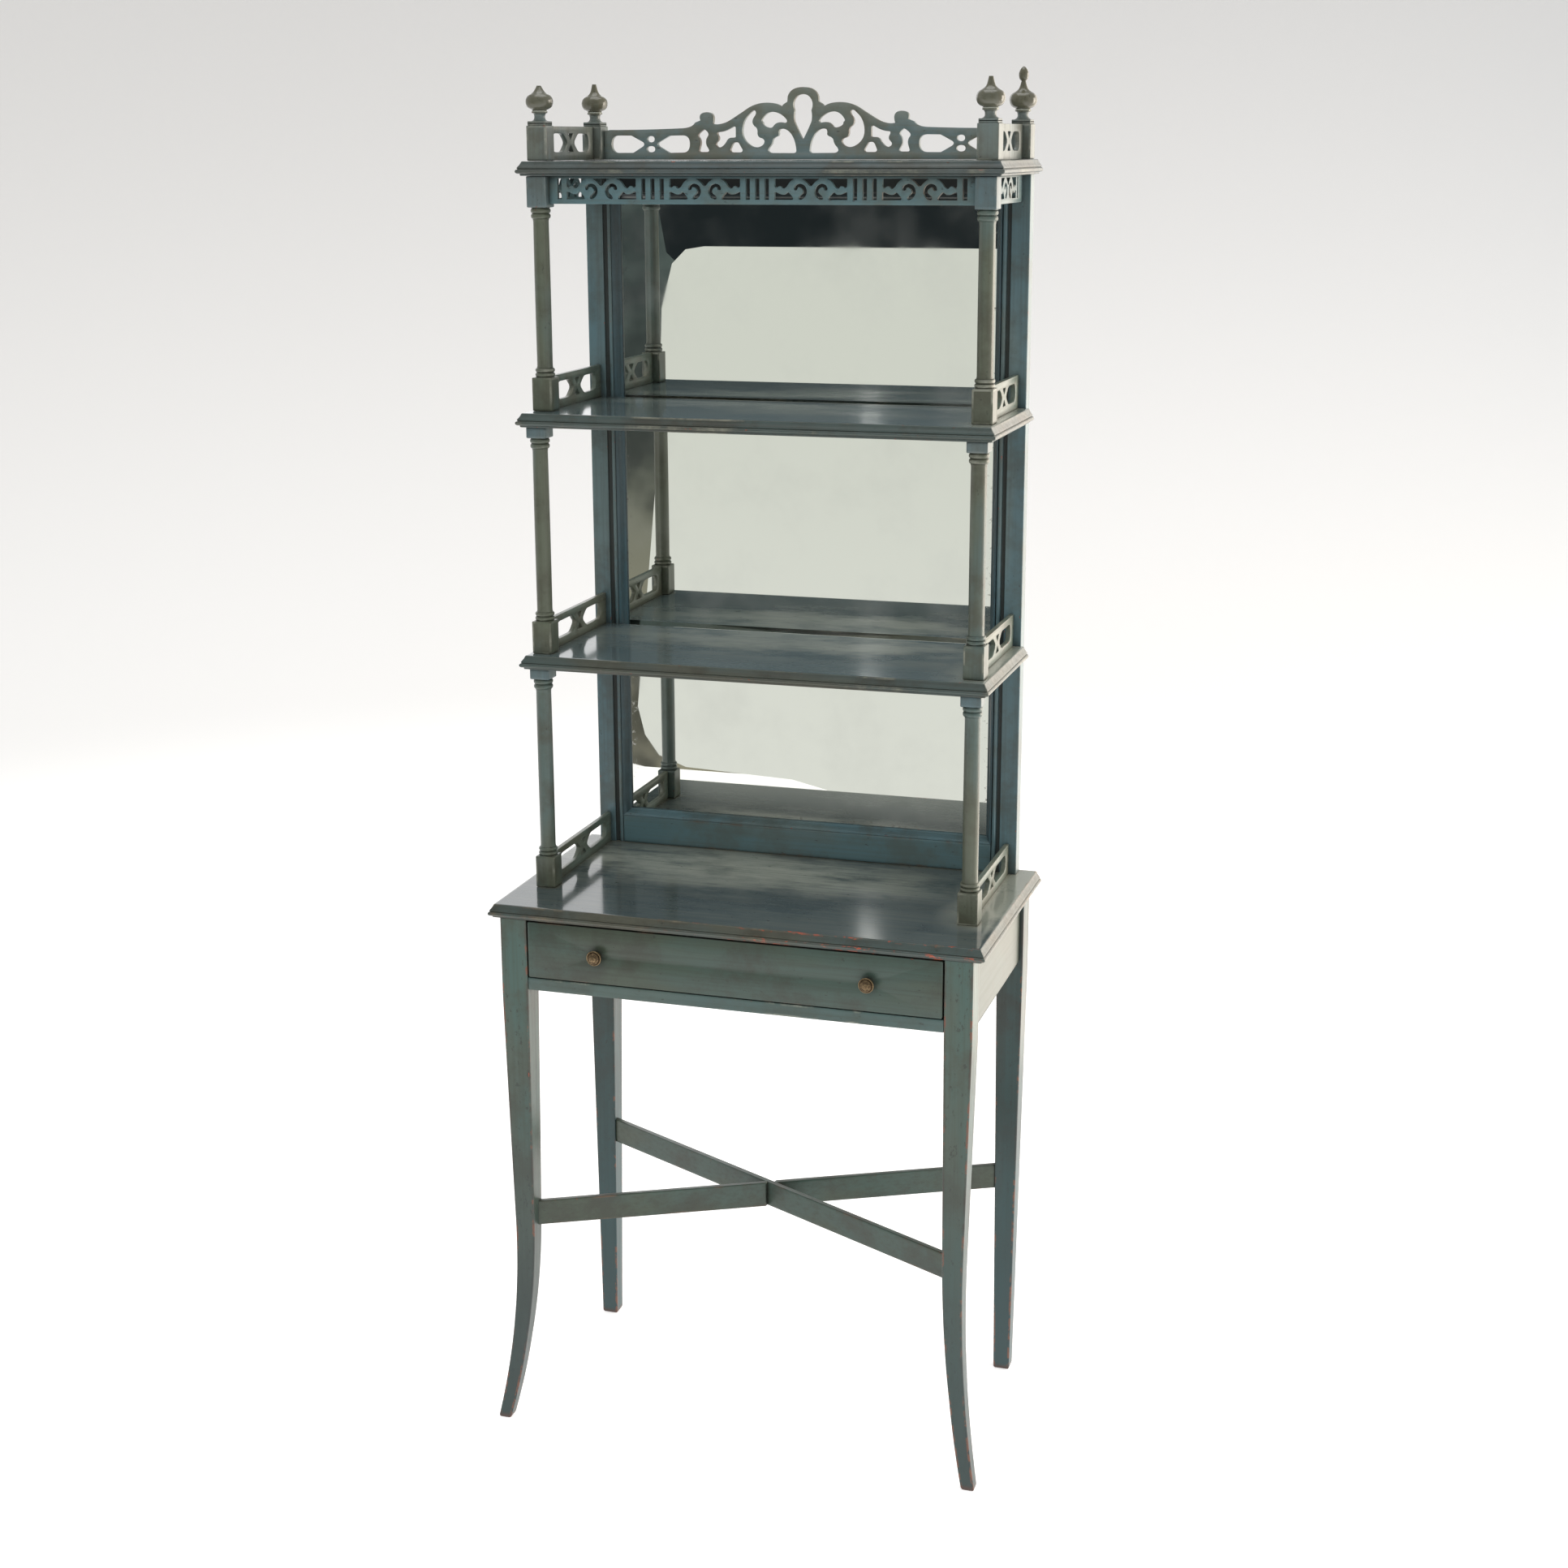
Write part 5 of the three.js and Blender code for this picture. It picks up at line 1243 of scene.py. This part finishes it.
def matt_paper(name, low_colour, high_colour, glow):
    """Uncoated white paper. It gives a soft even white that falls off with height, sooner on the left, away
    from the light. Its fibres are drawn 17 mm apart, coarse enough to show."""
    material, add = new_material(name)
    place = add(COORDINATES).outputs["Object"]
    x, _, z = add(PARTS, place).outputs
    height = add(MINUS, z, add(TIMES, x, 0.12))
    colour = add(BLEND, add(RAMP, height, -0.6, 3.0), linear(low_colour), linear(high_colour))
    # The foot of the sweep is as bright as the floor, so that no line shows where they meet
    near_floor = add(RAMP, z, 0.0, 0.3, 1.0, 0.0)
    colour = add(BLEND, near_floor, colour, linear(FLOOR_WHITE))
    fibres = add(NOISE, place, METRE / PAPER_FIBRES, 3.0, 0.55)
    colour = add(BLEND, add(RAMP, fibres, 0.3, 0.7, 0.0, 0.02), colour, linear("#c8c8c4"))
    shader = add(SURFACE, {
        "Base Color": colour, "Roughness": 0.9, "Specular IOR Level": 0.1, "Emission Color": colour,
        "Emission Strength": add(RAMP, near_floor, 0.0, 1.0, glow, FLOOR_GLOW)})
    add(FINISHED, {"Surface": shader})
    return material


def stage_piece(name, points, faces, material):
    """A mesh that belongs to the studio and not to the part."""
    mesh = bpy.data.meshes.new(name)
    mesh.from_pydata(points, [], faces)
    mesh.shade_smooth()
    mesh.materials.append(material)
    made = bpy.data.objects.new(name, mesh)
    bpy.context.scene.collection.objects.link(made)
    return made


def spun_paper(name, profile, material, sides=96):
    """A surface that turns (radius, height) points round the upright axis, seen from above and inside."""
    points, faces = [], []
    for radius, z in profile:
        angles = [2 * math.pi * i / sides for i in range(sides)]
        points += [(radius * math.cos(a), radius * math.sin(a), z) for a in angles]
    for start in range(0, (len(profile) - 1) * sides, sides):
        for i in range(sides):
            j = (i + 1) % sides
            faces.append((start + i, start + sides + i, start + sides + j, start + j))
    return stage_piece(name, points, faces, material)


floor_profile = [(radius, FLOOR_Z) for radius in (0.0005, 0.5, 1.2, FLOOR_RADIUS)]
spun_paper("floor_paper", floor_profile, matt_paper("matt_floor_paper", FLOOR_WHITE, "#dcdcdc", FLOOR_GLOW))
sweep_profile = rounded_corner(FLOOR_RADIUS, FLOOR_Z + SWEEP_RADIUS, SWEEP_RADIUS, 270, 12)
sweep_profile.append((FLOOR_RADIUS + SWEEP_RADIUS, SWEEP_TOP))
sweep = spun_paper("sweep_paper", sweep_profile, matt_paper("matt_sweep_paper", "#dbdbdb", "#b0b0b0", 0.62))
sweep.visible_diffuse = False
sweep.visible_shadow = False


def glowing_card(name, y, outline, low_colour, high_colour, z_high, strength=1.0, mottle=0.0):
    """An upright card with an outline of (x, z) points, which only the mirror and the gloss see. Its colour
    changes with height up to z_high, and mottle is how strong its dark blotches are, half a metre apart."""
    material, add = new_material(name)
    place = add(COORDINATES).outputs["Object"]
    height = add(RAMP, add(PARTS, place).outputs["Z"], 0.0, z_high)
    colour = add(BLEND, height, linear(low_colour), linear(high_colour))
    blotches = add(NOISE, place, METRE / WALL_BLOTCHES, 4.0, 0.6)
    colour = add(BLEND, add(RAMP, blotches, 0.42, 0.62, 0.0, mottle), colour, linear("#262c2e"))
    add(FINISHED, {"Surface": add(GLOW, {"Color": colour, "Strength": strength})})
    card = stage_piece(name, [(x, y, z) for x, z in outline], [tuple(range(len(outline)))], material)
    card.visible_camera = card.visible_diffuse = card.visible_shadow = False


# The outline of the pale card, counterclockwise from its lower right corner
PALE_CARD = [(2.6, 0.03), (2.6, 1.47), (-1.1, 1.468), (-1.15, 1.46), (-1.187, 1.424), (-1.217, 1.312),
             (-1.23, 0.98), (-1.255, 0.723), (-1.294, 0.35), (-1.303, 0.26), (-1.284, 0.183), (-1.245, 0.129),
             (-1.169, 0.101), (-0.87, 0.088), (-0.7, 0.05), (-0.334, 0.045)]
ROOM_HALF, ROOM_TOP = 4.4, 5.4
room_left = [(-ROOM_HALF, 0.08), (-1.0, 0.08), (-1.0, 1.25), (-1.22, 1.45), (-1.3, 1.9), (-1.4, 2.6),
             (-ROOM_HALF, 2.6)]
whole_room = rectangle(-ROOM_HALF, ROOM_HALF, 0.08, ROOM_TOP)
upper_room = rectangle(-ROOM_HALF, ROOM_HALF, 1.68, ROOM_TOP)
glowing_card("grey_card", -2.6, PALE_CARD, "#eef0ea", "#e1e4dc", 1.4)
glowing_card("unlit_studio", -2.66, whole_room, "#8a8474", "#22282a", 1.3)
glowing_card("studio_side", -2.65, room_left, "#a09c88", "#56625f", 1.45, mottle=0.75)
glowing_card("studio_ceiling", -2.64, upper_room, "#6f7b80", "#5a6468", 4.0)
# Bright paper behind the part, whose sheen lies on the tops and shelves
glowing_card("lit_paper_left", 1.3, rectangle(-2.4, -0.44, 0.02, 2.6), "#ffffff", "#ffffff", 1.0, 1.6)
glowing_card("lit_paper", 1.3, rectangle(0.42, 1.7, 0.02, 2.3), "#fff6ea", "#fff6ea", 1.0, 2.8)

world = bpy.data.worlds.new("studio_air")
bpy.context.scene.world = world
world.use_nodes = True
world.node_tree.nodes["Background"].inputs["Color"].default_value = linear("#f6f6f4")
world.node_tree.nodes["Background"].inputs["Strength"].default_value = 0.5


def soft_light(name, place, target, width, height, power, colour="#ffffff", in_gloss=True):
    """A lamp with a rectangular face, aimed at a point, that the camera doesn't see."""
    data = bpy.data.lights.new(name, "AREA")
    data.shape = "RECTANGLE"
    data.size, data.size_y = width, height
    data.energy = power
    data.color = linear(colour)[:3]
    lamp = bpy.data.objects.new(name, data)
    lamp.location = place
    lamp.rotation_euler = (Vector(target) - Vector(place)).to_track_quat("-Z", "Y").to_euler()
    lamp.visible_camera = False
    lamp.visible_glossy = in_gloss
    bpy.context.scene.collection.objects.link(lamp)


soft_light("overhead_softbox", (0.0, 0.2, 4.4), (0, 0, 0.8), 2.6, 2.6, 45)
soft_light("front_lamp", (-0.66, -2.61, 1.9), (0, 0, 1.0), 0.05, 0.45, 0.24)
soft_light("front_fill", (-0.4, -2.6, 3.0), (0, 0, 0.9), 2.0, 1.5, 32, in_gloss=False)
soft_light("low_fill", (-0.6, -3.2, 1.3), (0, 0, 0.9), 2.0, 1.2, 2, in_gloss=False)
soft_light("right_fill", (2.8, -1.4, 1.7), (0, 0, 1.0), 1.5, 1.5, 19, in_gloss=False)
soft_light("right_softbox", (2.9, 1.9, 1.3), (0, 0, 0.9), 1.8, 2.4, 128, "#fff3e4")
# The glass throws light back onto the shelves and the backs of the columns
soft_light("light_from_the_glass", (0.0, 0.15, 1.25), (0, -2, 1.1), 0.5, 0.85, 1.3, in_gloss=False)


def photo_camera():
    """The camera of the photograph, solved from the parallel edges of the table and shelves. Angles are in
    radians."""
    place = Vector((0.9439, -2.9721, 1.7191))
    yaw, pitch, roll = 0.3005, -0.2591, -0.0037
    forward = Vector((-math.sin(yaw) * math.cos(pitch), math.cos(yaw) * math.cos(pitch), math.sin(pitch)))
    level_right = Vector((math.cos(yaw), math.sin(yaw), 0.0))
    level_up = level_right.cross(forward)
    right = level_right * math.cos(roll) + level_up * math.sin(roll)
    up = level_up * math.cos(roll) - level_right * math.sin(roll)
    data = bpy.data.cameras.new("photo_camera")
    data.sensor_width = 36.0
    data.sensor_fit = "HORIZONTAL"
    data.lens = 55.48
    camera = bpy.data.objects.new("photo_camera", data)
    turned = Matrix((right, up, -forward)).transposed().to_4x4()
    camera.matrix_world = Matrix.Translation(place) @ turned
    bpy.context.scene.collection.objects.link(camera)
    bpy.context.scene.camera = camera


photo_camera()
bpy.context.scene.view_settings.view_transform = "Standard"
